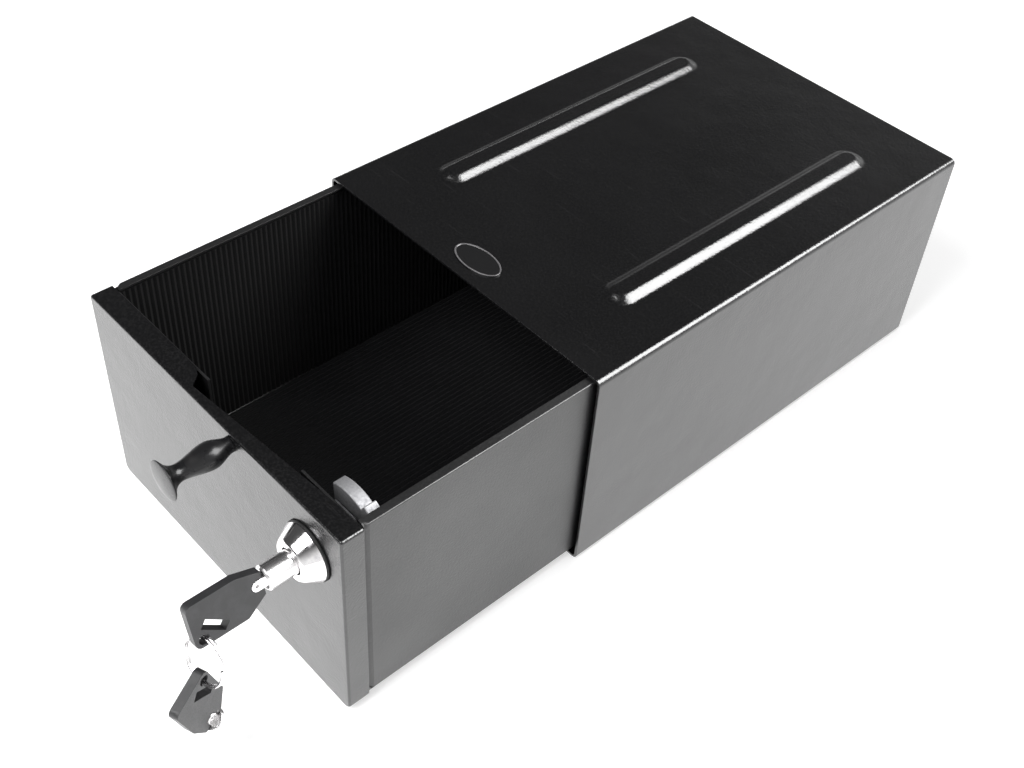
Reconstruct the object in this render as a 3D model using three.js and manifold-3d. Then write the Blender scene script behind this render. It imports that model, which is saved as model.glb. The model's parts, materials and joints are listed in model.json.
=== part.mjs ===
// Portable car safe: a steel sleeve with a locking steel drawer, drawn open as in the photo.
// Millimetres. +X to the right seen from the front, +Y to the back, +Z up.
// The origin is the centre of the underside of the sleeve.
// Depths called "behind the face" are measured backwards from the front face of the drawer,
// so a negative depth stands out in front of it.
import * as THREE from 'three';
import { mergeVertices } from 'three/addons/utils/BufferGeometryUtils.js';
import Module from 'manifold-3d';

const wasm = await Module();
wasm.setup();

// Clearances
const GAP = 0.3;
const OVERCUT = 1;

// Sleeve
const SLEEVE_WIDTH = 200;
const SLEEVE_HEIGHT = 127;
const SLEEVE_LENGTH = 281;
const SLEEVE_SHEET = 1.5;
const SLEEVE_BEND = 3;
const SLEEVE_FRONT = -SLEEVE_LENGTH / 2;
const SLEEVE_REAR = SLEEVE_LENGTH / 2;
const ROOF_UNDERSIDE = SLEEVE_HEIGHT - SLEEVE_SHEET;

// Pressed ribs in the roof
const RIB_CENTRE_X = 62;
const RIB_FROM_FRONT = 43;
const RIB_LENGTH = 198;
const RIB_FOOT_WIDTH = 20;
const RIB_CREST_WIDTH = 7;
const RIB_RISE = 3;

// Fixing holes in the sleeve floor
const FIXING_HOLE_RADIUS = 3.5;
const FIXING_HOLE_X = 60;
const FIXING_HOLE_Y = 95;

// Back panel of the sleeve
const BACK_FLANGE_DEPTH = 10;

// Blank oval plate on the roof
const OVAL_FROM_FRONT = 14.4;
const OVAL_HALF_WIDTH = 15.1;
const OVAL_HALF_DEPTH = 7.9;
const OVAL_THICKNESS = 0.8;
const OVAL_RIM_WIDTH = 0.9;
const OVAL_RECESS = 0.3;

// Runners under the drawer
const GLIDE_WIDTH = 12;
const GLIDE_REAR_GAP = 6;
const GLIDE_INSET = 22;
const GLIDE_CENTRE_X = SLEEVE_WIDTH / 2 - GLIDE_INSET;
const GLIDE_FROM_FRONT = 15;

// Drawer
const DRAWER_PULL = 143.6;
const DRAWER_SIDE_GAP = 1.1;
const DRAWER_BOTTOM_GAP = 1.1;
const DRAWER_TOP_GAP = 1;
const DRAWER_REAR_GAP = 13;
const DRAWER_SHEET = 1.2;
const FACE_RETURN = 11.6;
const FACE_LOWER_BEND = 4;
const FACE_UPPER_BEND = 1.5;
const TRAY_LAP_START = 2;
const TRAY_TOP_FLANGE = 4.5;
const TRAY_UPPER_BEND = 3;
const FRONT_WALL_DROP = 1.5;
const WINDOW_LEFT_OF_KNOB = 34;
const WINDOW_LEFT_OF_LOCK = 19.4;
const WINDOW_DROP = 20;
const CUT_LEFT_TAPER = 9;
const CUT_LEFT_DEPTH = 3.9;
const CUT_RIGHT_TAPER = 27.7;
const CUT_RIGHT_DEPTH = 9.4;
const FACE_Y = SLEEVE_FRONT - DRAWER_PULL;
const DRAWER_HALF_WIDTH = SLEEVE_WIDTH / 2 - SLEEVE_SHEET - DRAWER_SIDE_GAP;
const DRAWER_BOTTOM = SLEEVE_SHEET + DRAWER_BOTTOM_GAP;
const DRAWER_TOP = ROOF_UNDERSIDE - DRAWER_TOP_GAP;
const DRAWER_LENGTH = SLEEVE_LENGTH - DRAWER_REAR_GAP;
const TRAY_HALF_WIDTH = DRAWER_HALF_WIDTH - DRAWER_SHEET;
const TRAY_INSIDE_X = TRAY_HALF_WIDTH - DRAWER_SHEET;
const TRAY_UNDERSIDE = DRAWER_BOTTOM + DRAWER_SHEET;
const TRAY_FLOOR = TRAY_UNDERSIDE + DRAWER_SHEET;
const FRONT_WALL_REAR = FACE_RETURN + DRAWER_SHEET;
const BACK_WALL_FRONT = DRAWER_LENGTH - DRAWER_SHEET;

// Ribbed lining of the drawer
const LINING_BASE = 1.5;
const LINING_TOOTH = 1;
const LINING_PITCH = 3;
const LINING_BELOW_TOP = TRAY_UPPER_BEND + GAP;
const LINING_BELOW_STOP = 1;
const LINING_BELOW_LOCK = 4;
const LINING_THICKNESS = LINING_BASE + LINING_TOOTH;
const LINING_CAM_CLEAR = 30;
const LINING_FLOOR_TOP = TRAY_FLOOR + LINING_THICKNESS;

// Drawer stop and latch strike, both under the roof
const STOP_HALF_WIDTH = 40;
const STOP_SHEET = 1.5;
const STOP_REAR_FROM_FRONT = 63.5;
const STOP_TOP_LEG = 15;
const STOP_DROP = 5;
const STRIKE_LEFT_OF_LOCK = 10.7;
const STRIKE_WIDTH = 17;
const STRIKE_SHEET = 2;
const STRIKE_FROM_FRONT = 17.9;
const STRIKE_TOP_LEG = 16;
const STRIKE_DROP = 17.5;

// Knob with its screw and washer
const KNOB_X = 18.5;
const KNOB_BELOW_TOP = 7;
const KNOB_Z = DRAWER_TOP - KNOB_BELOW_TOP;
const KNOB_LENGTH = 33.6;
const KNOB_DISC_RADIUS = 10;
const KNOB_DISC_THICKNESS = 1;
const KNOB_DOME = 0.4;
const KNOB_BORE_RADIUS = 2.3;
const KNOB_BORE_DEPTH = 16;
const SCREW_RADIUS = 2;
const SCREW_HEAD_RADIUS = 4;
const SCREW_HEAD_HEIGHT = 2.4;
const SCREW_SLOT = 1.2;
const KNOB_WASHER_RADIUS = 5.5;
const KNOB_WASHER_THICKNESS = 1;

// Cam lock
const LOCK_FROM_SIDE = 23.7;
const LOCK_BELOW_TOP = 26.6;
const LOCK_X = DRAWER_HALF_WIDTH - LOCK_FROM_SIDE;
const LOCK_Z = DRAWER_TOP - LOCK_BELOW_TOP;
const GASKET_RADIUS = 15;
const GASKET_THICKNESS = 1;
const BEZEL_BASE_RADIUS = 14.5;
const BEZEL_FACE_RADIUS = 10.8;
const BEZEL_PROJECTION = 9.5;
const BEZEL_EDGE = 0.6;
const LOCK_BARREL_RADIUS = 9.5;
const LOCK_FLAT = 8.2;
const LOCK_BARREL_END = 20.1;
const LOCK_WASHER_RADIUS = 12.5;
const LOCK_WASHER_THICKNESS = 1.2;
const LOCK_NUT_FLATS = 24;
const LOCK_NUT_THICKNESS = 6;
const PLUG_RADIUS = 6.3;
const PLUG_POST_RADIUS = 4;
const KEYWAY_DEPTH = 7.5;
const STUD_HALF = 3;
const THREAD_RADIUS = 2.4;

// Cam on the end of the lock plug
const CAM_THICKNESS = 6.5;
const CAM_HUB_RADIUS = 10;
const CAM_RADIUS = 22.3;
const CAM_LUG_RADIUS = 26.2;
const CAM_LUG_START = 52;
const CAM_LUG_END = 63;
const CAM_FAN_END = 115;
const CAM_NOTCH_RADIUS = 13;
const CAM_FRONT = LOCK_BARREL_END + GAP;
const CAM_REAR = CAM_FRONT + CAM_THICKNESS;
const CAM_WASHER_RADIUS = 6.5;
const CAM_WASHER_THICKNESS = 1;
const CAM_NUT_FLATS = 8;
const CAM_NUT_THICKNESS = 4;

// Tubular keys, lengths measured along the key from the face of the drawer
const KEY_TUBE_RADIUS = PLUG_RADIUS - GAP;
const KEY_TUBE_BORE = PLUG_POST_RADIUS + GAP;
const KEY_TIP = 2.3;
const KEY_BORE_DEPTH = 12;
const KEY_TUBE_END = 23.5;
const KEY_TONGUE_HALF_WIDTH = 2.6;
const KEY_TONGUE_HALF_THICKNESS = 2.5;
const KEY_TONGUE_END = 30;
const KEY_TONGUE_HOLE = 0.8;
const BOW_START = 24.5;
const BOW_END = 59.5;
const BOW_NECK_HALF_WIDTH = 6;
const BOW_NARROW_SIDE = 9.6;
const BOW_NARROW_SHOULDER = 36;
const BOW_WIDE_SIDE = 12.9;
const BOW_WIDE_SHOULDER = 34.5;
const BOW_THICKNESS = 4.5;
const BOW_CORNER = 3;
const BOW_HOLE_RADIUS = 2.5;
const BOW_HOLE_ALONG = 55.2;
const BOW_HOLE_ACROSS = 9.3;
const BOW_WINDOW = [[52.4, 0.1], [42.6, 7.6], [45.5, 11.2], [55.4, 3.8]];
const KEY_TURN = THREE.MathUtils.degToRad(14);

// Split ring through both keys
const RING_RADIUS = 11.5;
const RING_WIRE_RADIUS = 0.6;
const RING_PITCH = 1.4;
const RING_TURNS = 1.85;
const RING_AXIS = new THREE.Vector3(-0.149, 0.955, -0.255).normalize();
const RING_TO_KEY = new THREE.Vector3(-0.3155, 0.1928, 0.929);
const RING_TO_SPARE = new THREE.Vector3(-0.0966, -0.2723, -0.9574);
const SPARE_ALONG = new THREE.Vector3(0.116, -0.314, 0.942).normalize();
const SPARE_ACROSS = new THREE.Vector3(-0.334, 0.881, 0.335);

// Turns an outline drawn in X and Z so that its thickness runs along Y
const ALONG_Y = new THREE.Matrix4().makeBasis(
  new THREE.Vector3(1, 0, 0),
  new THREE.Vector3(0, 0, 1),
  new THREE.Vector3(0, -1, 0),
);

// Turns a three.js geometry into a closed solid that can be joined and cut
function solid(geometry) {
  const bare = geometry.clone();
  bare.deleteAttribute('normal');
  bare.deleteAttribute('uv');
  const merged = mergeVertices(bare, 1e-4);
  const corners = Array.from(merged.index.array);
  const triangles = [];
  for (let i = 0; i < corners.length; i += 3) {
    const [a, b, c] = corners.slice(i, i + 3);
    if (a !== b && b !== c && c !== a) {
      triangles.push(a, b, c);
    }
  }
  return new wasm.Manifold(new wasm.Mesh({
    numProp: 3,
    vertProperties: new Float32Array(merged.attributes.position.array),
    triVerts: new Uint32Array(triangles),
  }));
}

// Joins a list of solids, or cuts a list of solids from the first
function joined(solids) {
  return solids.reduce((sum, next) => sum.add(next));
}

function cut(from, cutters) {
  return cutters.reduce((rest, next) => rest.subtract(next), from);
}

// Names a finished solid and gives it its own material
function mesh(name, body, look) {
  const result = body.getMesh();
  const geometry = new THREE.BufferGeometry();
  geometry.setAttribute('position', new THREE.BufferAttribute(result.vertProperties, 3));
  geometry.setIndex(new THREE.BufferAttribute(result.triVerts, 1));
  geometry.computeVertexNormals();
  const made = new THREE.Mesh(geometry, new THREE.MeshStandardMaterial(look));
  made.name = name;
  return made;
}

function box(x0, x1, y0, y1, z0, z1) {
  const geometry = new THREE.BoxGeometry(x1 - x0, y1 - y0, z1 - z0);
  return solid(geometry.translate((x0 + x1) / 2, (y0 + y1) / 2, (z0 + z1) / 2));
}

// A box whose front and back are given as depths behind the drawer face
function drawerBox(x0, x1, depth0, depth1, z0, z1) {
  return box(x0, x1, FACE_Y + depth0, FACE_Y + depth1, z0, z1);
}

// A rod along Y between two depths behind the drawer face
function rod(radius, depth0, depth1, x, z, sides = 40) {
  const geometry = new THREE.CylinderGeometry(radius, radius, depth1 - depth0, sides);
  return solid(geometry.translate(x, FACE_Y + (depth0 + depth1) / 2, z));
}

// A turned piece about an axis along Y, from [radius, depth behind the face] points
function turned(profile, x, z, sides = 40) {
  const points = profile.map(([radius, depth]) => new THREE.Vector2(radius, depth));
  const geometry = new THREE.LatheGeometry(points, sides);
  return solid(geometry.translate(x, FACE_Y, z));
}

function extruded(shape, depth, curveSegments = 6) {
  return new THREE.ExtrudeGeometry(shape, { depth, bevelEnabled: false, curveSegments });
}

// An outline drawn in X and Z, carried from y0 back to y1
function carriedBack(shape, y0, y1, curveSegments = 6) {
  const geometry = extruded(shape, y1 - y0, curveSegments);
  return solid(geometry.applyMatrix4(ALONG_Y).translate(0, y1, 0));
}

// An outline drawn in X and Y, carried from z0 up to z1
function carriedUp(shape, z0, z1, curveSegments = 6) {
  return solid(extruded(shape, z1 - z0, curveSegments).translate(0, 0, z0));
}

function polygon(points) {
  return new THREE.Shape(points.map(([u, v]) => new THREE.Vector2(u, v)));
}

// A rectangle with one radius on its lower corners and one on its upper corners
function roundedRectangle(halfWidth, bottom, top, lower, upper) {
  const shape = new THREE.Shape();
  shape.absarc(halfWidth - lower, bottom + lower, lower, -Math.PI / 2, 0, false);
  shape.absarc(halfWidth - upper, top - upper, upper, 0, Math.PI / 2, false);
  shape.absarc(-halfWidth + upper, top - upper, upper, Math.PI / 2, Math.PI, false);
  shape.absarc(-halfWidth + lower, bottom + lower, lower, Math.PI, Math.PI * 1.5, false);
  shape.closePath();
  return shape;
}

// A long low mound with round ends, as steel takes over a pressing tool
function pressedRib(centreX, base) {
  const steps = 5;
  const endSides = 9;
  const centreY = SLEEVE_FRONT + RIB_FROM_FRONT + RIB_LENGTH / 2;
  const slope = (RIB_FOOT_WIDTH - RIB_CREST_WIDTH) / 2;
  const levels = [{ inset: 0, z: base - OVERCUT / 2 }];
  for (let step = 0; step <= steps; step += 1) {
    const share = step / steps;
    const eased = share * share * (3 - 2 * share);
    levels.push({ inset: slope * share, z: base + RIB_RISE * eased });
  }
  const points = [];
  levels.forEach(({ inset, z }) => {
    const radius = RIB_FOOT_WIDTH / 2 - inset;
    const straight = (RIB_LENGTH - RIB_FOOT_WIDTH) / 2;
    for (let side = 0; side <= endSides * 2 + 1; side += 1) {
      const back = side <= endSides;
      const turn = (back ? side : side - 1) * Math.PI / endSides;
      const shift = back ? straight : -straight;
      points.push(centreX + radius * Math.cos(turn));
      points.push(centreY + shift + radius * Math.sin(turn));
      points.push(z);
    }
  });
  const perLevel = endSides * 2 + 2;
  const lowest = points.length / 3;
  const highest = lowest + 1;
  points.push(centreX, centreY, levels[0].z);
  points.push(centreX, centreY, levels[levels.length - 1].z);
  const lastLevel = (levels.length - 1) * perLevel;
  const index = [];
  for (let side = 0; side < perLevel; side += 1) {
    const next = (side + 1) % perLevel;
    index.push(lowest, next, side);
    index.push(highest, lastLevel + side, lastLevel + next);
    for (let level = 0; level < levels.length - 1; level += 1) {
      const low = level * perLevel;
      const high = low + perLevel;
      index.push(low + side, low + next, high + next);
      index.push(low + side, high + next, high + side);
    }
  }
  const geometry = new THREE.BufferGeometry();
  geometry.setAttribute('position', new THREE.Float32BufferAttribute(points, 3));
  geometry.setIndex(index);
  return solid(geometry);
}

// Looks
const blackPaint = { color: 0x1c1c1e, roughness: 0.38, metalness: 0.35 };
const innerPaint = { color: 0x151517, roughness: 0.5, metalness: 0.3 };
const liningLook = { color: 0x0f0f10, roughness: 0.95, metalness: 0 };
const glideLook = { color: 0x3a3a3c, roughness: 0.9, metalness: 0 };
const chromeLook = { color: 0xdcdee0, roughness: 0.12, metalness: 1 };
const zincLook = { color: 0xb9bcbf, roughness: 0.35, metalness: 1 };
const gasketLook = { color: 0x0c0c0c, roughness: 0.9, metalness: 0 };
const knobLook = { color: 0x121214, roughness: 0.3, metalness: 0 };
const bowLook = { color: 0x2e2e33, roughness: 0.55, metalness: 0 };

// Sleeve shell: one sheet bent into a tube, with two ribs pressed up in its roof
function makeSleeveShell() {
  const outline = roundedRectangle(
    SLEEVE_WIDTH / 2, 0, SLEEVE_HEIGHT, SLEEVE_BEND, SLEEVE_BEND,
  );
  const innerBend = SLEEVE_BEND - SLEEVE_SHEET;
  const inside = roundedRectangle(
    SLEEVE_WIDTH / 2 - SLEEVE_SHEET, SLEEVE_SHEET, ROOF_UNDERSIDE, innerBend, innerBend,
  );
  const full = carriedBack(outline, SLEEVE_FRONT, SLEEVE_REAR);
  const bay = carriedBack(inside, SLEEVE_FRONT - OVERCUT, SLEEVE_REAR + OVERCUT);
  const centres = [-RIB_CENTRE_X, RIB_CENTRE_X];
  const raised = centres.map((x) => pressedRib(x, SLEEVE_HEIGHT));
  const hollows = centres.map((x) => pressedRib(x, ROOF_UNDERSIDE));
  const holes = [];
  for (const x of [-FIXING_HOLE_X, FIXING_HOLE_X]) {
    for (const y of [-FIXING_HOLE_Y, FIXING_HOLE_Y]) {
      const hole = new THREE.Shape();
      hole.absarc(x, y, FIXING_HOLE_RADIUS, 0, Math.PI * 2, false);
      holes.push(carriedUp(hole, -OVERCUT, SLEEVE_SHEET + OVERCUT, 20));
    }
  }
  const body = cut(joined([full, ...raised]), [bay, ...hollows, ...holes]);
  return mesh('sleeve_shell', body, blackPaint);
}

// Back panel: a shallow pan welded inside the rear end of the tube, flanges forward
function makeBackPanel() {
  const half = SLEEVE_WIDTH / 2 - SLEEVE_SHEET - GAP;
  const bottom = SLEEVE_SHEET + GAP;
  const top = ROOF_UNDERSIDE - GAP;
  const bend = SLEEVE_BEND - SLEEVE_SHEET + GAP;
  const front = SLEEVE_REAR - BACK_FLANGE_DEPTH;
  const outline = roundedRectangle(half, bottom, top, bend, bend);
  const inside = roundedRectangle(
    half - DRAWER_SHEET, bottom + DRAWER_SHEET, top - DRAWER_SHEET, GAP, GAP,
  );
  const body = cut(carriedBack(outline, front, SLEEVE_REAR), [
    carriedBack(inside, front - OVERCUT, SLEEVE_REAR - DRAWER_SHEET),
  ]);
  return mesh('sleeve_back_panel', body, blackPaint);
}

// Oval plate: a blank dished oval stuck flat on the roof near the front edge
function makeOvalPlate() {
  const y = SLEEVE_FRONT + OVAL_FROM_FRONT;
  const outline = new THREE.Shape();
  outline.absellipse(0, y, OVAL_HALF_WIDTH, OVAL_HALF_DEPTH, 0, Math.PI * 2, false, 0);
  const dish = new THREE.Shape();
  dish.absellipse(
    0, y, OVAL_HALF_WIDTH - OVAL_RIM_WIDTH, OVAL_HALF_DEPTH - OVAL_RIM_WIDTH,
    0, Math.PI * 2, false, 0,
  );
  const top = SLEEVE_HEIGHT + OVAL_THICKNESS;
  const body = cut(carriedUp(outline, SLEEVE_HEIGHT, top, 24), [
    carriedUp(dish, top - OVAL_RECESS, top + OVERCUT, 24),
  ]);
  return mesh('oval_plate', body, blackPaint);
}

// Latch strike: an angle under the roof whose hanging leg the cam turns behind
function makeLatchStrike() {
  const front = SLEEVE_FRONT + STRIKE_FROM_FRONT;
  const right = LOCK_X - STRIKE_LEFT_OF_LOCK;
  const left = right - STRIKE_WIDTH;
  const body = joined([
    box(
      left, right, front, front + STRIKE_SHEET,
      ROOF_UNDERSIDE - STRIKE_DROP, ROOF_UNDERSIDE,
    ),
    box(
      left, right, front, front + STRIKE_TOP_LEG,
      ROOF_UNDERSIDE - STRIKE_SHEET, ROOF_UNDERSIDE,
    ),
  ]);
  return mesh('latch_strike', body, innerPaint);
}

// Drawer stop: an angle under the roof that the back wall of the drawer comes up against
function makeDrawerStop() {
  const rear = SLEEVE_FRONT + STOP_REAR_FROM_FRONT;
  const body = joined([
    box(
      -STOP_HALF_WIDTH, STOP_HALF_WIDTH, rear - STOP_SHEET, rear,
      ROOF_UNDERSIDE - STOP_DROP, ROOF_UNDERSIDE,
    ),
    box(
      -STOP_HALF_WIDTH, STOP_HALF_WIDTH, rear - STOP_TOP_LEG, rear,
      ROOF_UNDERSIDE - STOP_SHEET, ROOF_UNDERSIDE,
    ),
  ]);
  return mesh('drawer_stop', body, innerPaint);
}

// Glide strips: flat runners stuck to the sleeve floor that carry the tray
function makeGlideStrip(name, centreX) {
  const front = SLEEVE_FRONT + GLIDE_FROM_FRONT;
  const rear = SLEEVE_REAR - BACK_FLANGE_DEPTH - GLIDE_REAR_GAP;
  const body = box(
    centreX - GLIDE_WIDTH / 2, centreX + GLIDE_WIDTH / 2, front, rear,
    SLEEVE_SHEET, TRAY_UNDERSIDE - GAP,
  );
  return mesh(name, body, glideLook);
}

// The flange and the front wall are both cut away between these two places, behind the knob
function windowEnds() {
  return { left: KNOB_X - WINDOW_LEFT_OF_KNOB, right: LOCK_X - WINDOW_LEFT_OF_LOCK };
}

// Drawer front: a shallow pan, its top flange cut back behind the knob
function makeDrawerFront() {
  const outline = roundedRectangle(
    DRAWER_HALF_WIDTH, DRAWER_BOTTOM, DRAWER_TOP, FACE_LOWER_BEND, FACE_UPPER_BEND,
  );
  const inside = roundedRectangle(
    TRAY_HALF_WIDTH, TRAY_UNDERSIDE, DRAWER_TOP - DRAWER_SHEET,
    FACE_LOWER_BEND - DRAWER_SHEET, FACE_UPPER_BEND - DRAWER_SHEET,
  );
  const window = windowEnds();
  const cutLeft = window.left - CUT_LEFT_TAPER;
  const cutRight = window.right + CUT_RIGHT_TAPER;
  const cutBack = polygon([
    [cutLeft, FACE_Y + FACE_RETURN],
    [window.left - CUT_LEFT_TAPER / 2, FACE_Y + CUT_RIGHT_DEPTH],
    [window.left, FACE_Y + CUT_LEFT_DEPTH],
    [window.right, FACE_Y + CUT_RIGHT_DEPTH],
    [cutRight, FACE_Y + FACE_RETURN],
    [cutRight, FACE_Y + FACE_RETURN + OVERCUT],
    [cutLeft, FACE_Y + FACE_RETURN + OVERCUT],
  ]);
  const body = cut(carriedBack(outline, FACE_Y, FACE_Y + FACE_RETURN), [
    carriedBack(inside, FACE_Y + DRAWER_SHEET, FACE_Y + FACE_RETURN + OVERCUT),
    carriedUp(cutBack, DRAWER_TOP - DRAWER_SHEET - OVERCUT, DRAWER_TOP + OVERCUT),
    rod(SCREW_RADIUS + GAP, -OVERCUT, DRAWER_SHEET + OVERCUT, KNOB_X, KNOB_Z),
    rod(LOCK_BARREL_RADIUS + GAP, -OVERCUT, DRAWER_SHEET + OVERCUT, LOCK_X, LOCK_Z),
  ]);
  return mesh('drawer_front', body, blackPaint);
}

// Drawer tray: floor, sides with turned-in tops, back wall, and a front wall that the lock
// nut pulls up against; its front edges lap inside the pan
function makeDrawerTray() {
  const bend = FACE_LOWER_BEND - DRAWER_SHEET;
  const outline = roundedRectangle(
    TRAY_HALF_WIDTH, TRAY_UNDERSIDE, DRAWER_TOP, bend, TRAY_UPPER_BEND,
  );
  const inside = roundedRectangle(
    TRAY_INSIDE_X, TRAY_FLOOR, DRAWER_TOP - DRAWER_SHEET,
    bend - DRAWER_SHEET, TRAY_UPPER_BEND - DRAWER_SHEET,
  );
  const mouth = TRAY_HALF_WIDTH - TRAY_TOP_FLANGE;
  const above = DRAWER_TOP + OVERCUT;
  const window = windowEnds();
  const frontWallTop = DRAWER_TOP - FRONT_WALL_DROP;
  const body = cut(carriedBack(outline, FACE_Y + TRAY_LAP_START, FACE_Y + DRAWER_LENGTH), [
    carriedBack(inside, FACE_Y + FRONT_WALL_REAR, FACE_Y + BACK_WALL_FRONT),
    carriedBack(inside, FACE_Y + TRAY_LAP_START - OVERCUT, FACE_Y + FACE_RETURN),
    drawerBox(
      -mouth, mouth, FRONT_WALL_REAR, BACK_WALL_FRONT,
      DRAWER_TOP - DRAWER_SHEET - OVERCUT, above,
    ),
    drawerBox(
      -DRAWER_HALF_WIDTH, DRAWER_HALF_WIDTH, 0, FRONT_WALL_REAR, frontWallTop, above,
    ),
    drawerBox(
      window.left, window.right, FACE_RETURN - OVERCUT, FRONT_WALL_REAR + OVERCUT,
      DRAWER_TOP - WINDOW_DROP, above,
    ),
    rod(
      LOCK_BARREL_RADIUS + GAP, FACE_RETURN - OVERCUT, FRONT_WALL_REAR + OVERCUT,
      LOCK_X, LOCK_Z,
    ),
  ]);
  return mesh('drawer_tray', body, blackPaint);
}

// The ribbed outline of a lining sheet: flat on one side, a row of teeth on the other
function ribbedOutline(start, length, flat, toothSide) {
  const count = Math.floor(length / LINING_PITCH);
  const pitch = length / count;
  const valley = flat + toothSide * LINING_BASE;
  const crest = flat + toothSide * LINING_THICKNESS;
  const points = [[start, flat], [start, valley]];
  for (let tooth = 0; tooth < count; tooth += 1) {
    points.push([start + (tooth + 0.5) * pitch, crest]);
    points.push([start + (tooth + 1) * pitch, valley]);
  }
  points.push([start + length, flat]);
  return points;
}

// Side linings: ribs upright, against the side walls of the tray
function makeSideLining(name, side, startDepth) {
  const start = FACE_Y + startDepth;
  const length = BACK_WALL_FRONT - GAP - startDepth;
  const points = ribbedOutline(start, length, side * TRAY_INSIDE_X, -side);
  const shape = polygon(points.map(([y, x]) => [x, y]));
  const body = carriedUp(shape, LINING_FLOOR_TOP + GAP, DRAWER_TOP - LINING_BELOW_TOP);
  return mesh(name, body, liningLook);
}

// End linings: ribs upright, against the front or the back wall of the tray
function makeEndLining(name, depth, toothSide, top) {
  const half = TRAY_INSIDE_X - LINING_THICKNESS - GAP;
  const shape = polygon(ribbedOutline(-half, half * 2, FACE_Y + depth, toothSide));
  const body = carriedUp(shape, LINING_FLOOR_TOP + GAP, top);
  return mesh(name, body, liningLook);
}

// Floor lining: ribs running front to back on the floor of the tray
function makeFloorLining() {
  const half = TRAY_INSIDE_X - FACE_LOWER_BEND / 2;
  const shape = polygon(ribbedOutline(-half, half * 2, TRAY_FLOOR, 1));
  const body = carriedBack(
    shape, FACE_Y + FRONT_WALL_REAR + GAP, FACE_Y + BACK_WALL_FRONT - GAP,
  );
  return mesh('lining_floor', body, liningLook);
}

// Knob: a turned handle with a slim waist and a flat disc end, bored for its screw
function makeKnob() {
  const waist = new THREE.SplineCurve([
    [5.5, -30], [4, -27], [4.1, -24], [4.9, -20], [6.1, -15],
    [6.6, -11], [6.3, -8], [4.6, -4], [3.8, -1.5], [3.9, 0],
  ].map(([radius, depth]) => new THREE.Vector2(radius, depth)));
  const discBack = -KNOB_LENGTH + KNOB_DISC_THICKNESS;
  const profile = [
    [0, -KNOB_LENGTH - KNOB_DOME],
    [KNOB_DISC_RADIUS * 0.6, -KNOB_LENGTH - KNOB_DOME / 2],
    [KNOB_DISC_RADIUS - GAP, -KNOB_LENGTH],
    [KNOB_DISC_RADIUS, -KNOB_LENGTH + KNOB_DISC_THICKNESS / 2],
    [KNOB_DISC_RADIUS - GAP, discBack],
    [KNOB_DISC_RADIUS * 0.8, discBack + KNOB_DISC_THICKNESS],
    ...waist.getPoints(15).map((point) => [point.x, point.y]),
    [KNOB_BORE_RADIUS, 0],
    [KNOB_BORE_RADIUS, -KNOB_BORE_DEPTH],
    [0, -KNOB_BORE_DEPTH - KNOB_BORE_RADIUS],
  ];
  return mesh('knob', turned(profile, KNOB_X, KNOB_Z, 32), knobLook);
}

// Knob screw: goes through the pan from inside, slotted head on its washer
function makeKnobScrew() {
  const seat = DRAWER_SHEET + KNOB_WASHER_THICKNESS;
  const headEnd = seat + SCREW_HEAD_HEIGHT;
  const profile = [
    [0, -KNOB_BORE_DEPTH + OVERCUT],
    [SCREW_RADIUS, -KNOB_BORE_DEPTH + OVERCUT + SCREW_RADIUS / 2],
    [SCREW_RADIUS, seat],
    [SCREW_HEAD_RADIUS, seat],
    [SCREW_HEAD_RADIUS, headEnd - SCREW_HEAD_HEIGHT / 2],
    [SCREW_HEAD_RADIUS * 0.7, headEnd],
    [0, headEnd],
  ];
  const slot = drawerBox(
    KNOB_X - SCREW_HEAD_RADIUS - OVERCUT, KNOB_X + SCREW_HEAD_RADIUS + OVERCUT,
    headEnd - SCREW_SLOT, headEnd + OVERCUT,
    KNOB_Z - SCREW_SLOT / 2, KNOB_Z + SCREW_SLOT / 2,
  );
  return mesh('knob_screw', cut(turned(profile, KNOB_X, KNOB_Z, 24), [slot]), zincLook);
}

// A flat ring between two depths, with a round hole
function washer(name, outer, hole, depth0, depth1, x, z, look) {
  const body = cut(rod(outer, depth0, depth1, x, z), [
    rod(hole, depth0 - OVERCUT, depth1 + OVERCUT, x, z),
  ]);
  return mesh(name, body, look);
}

// A six-sided nut with a flat on top
function nut(name, acrossFlats, hole, depth0, depth1, x, z, look) {
  const corner = acrossFlats / Math.sqrt(3);
  const turns = [0, 1, 2, 3, 4, 5].map((side) => side * Math.PI / 3);
  const outline = polygon(turns.map((turn) => [
    x + corner * Math.cos(turn),
    z + corner * Math.sin(turn),
  ]));
  const body = cut(carriedBack(outline, FACE_Y + depth0, FACE_Y + depth1), [
    rod(hole, depth0 - OVERCUT, depth1 + OVERCUT, x, z),
  ]);
  return mesh(name, body, look);
}

function makeKnobWasher() {
  return washer(
    'knob_washer', KNOB_WASHER_RADIUS, SCREW_RADIUS + GAP,
    DRAWER_SHEET, DRAWER_SHEET + KNOB_WASHER_THICKNESS, KNOB_X, KNOB_Z, zincLook,
  );
}

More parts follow.
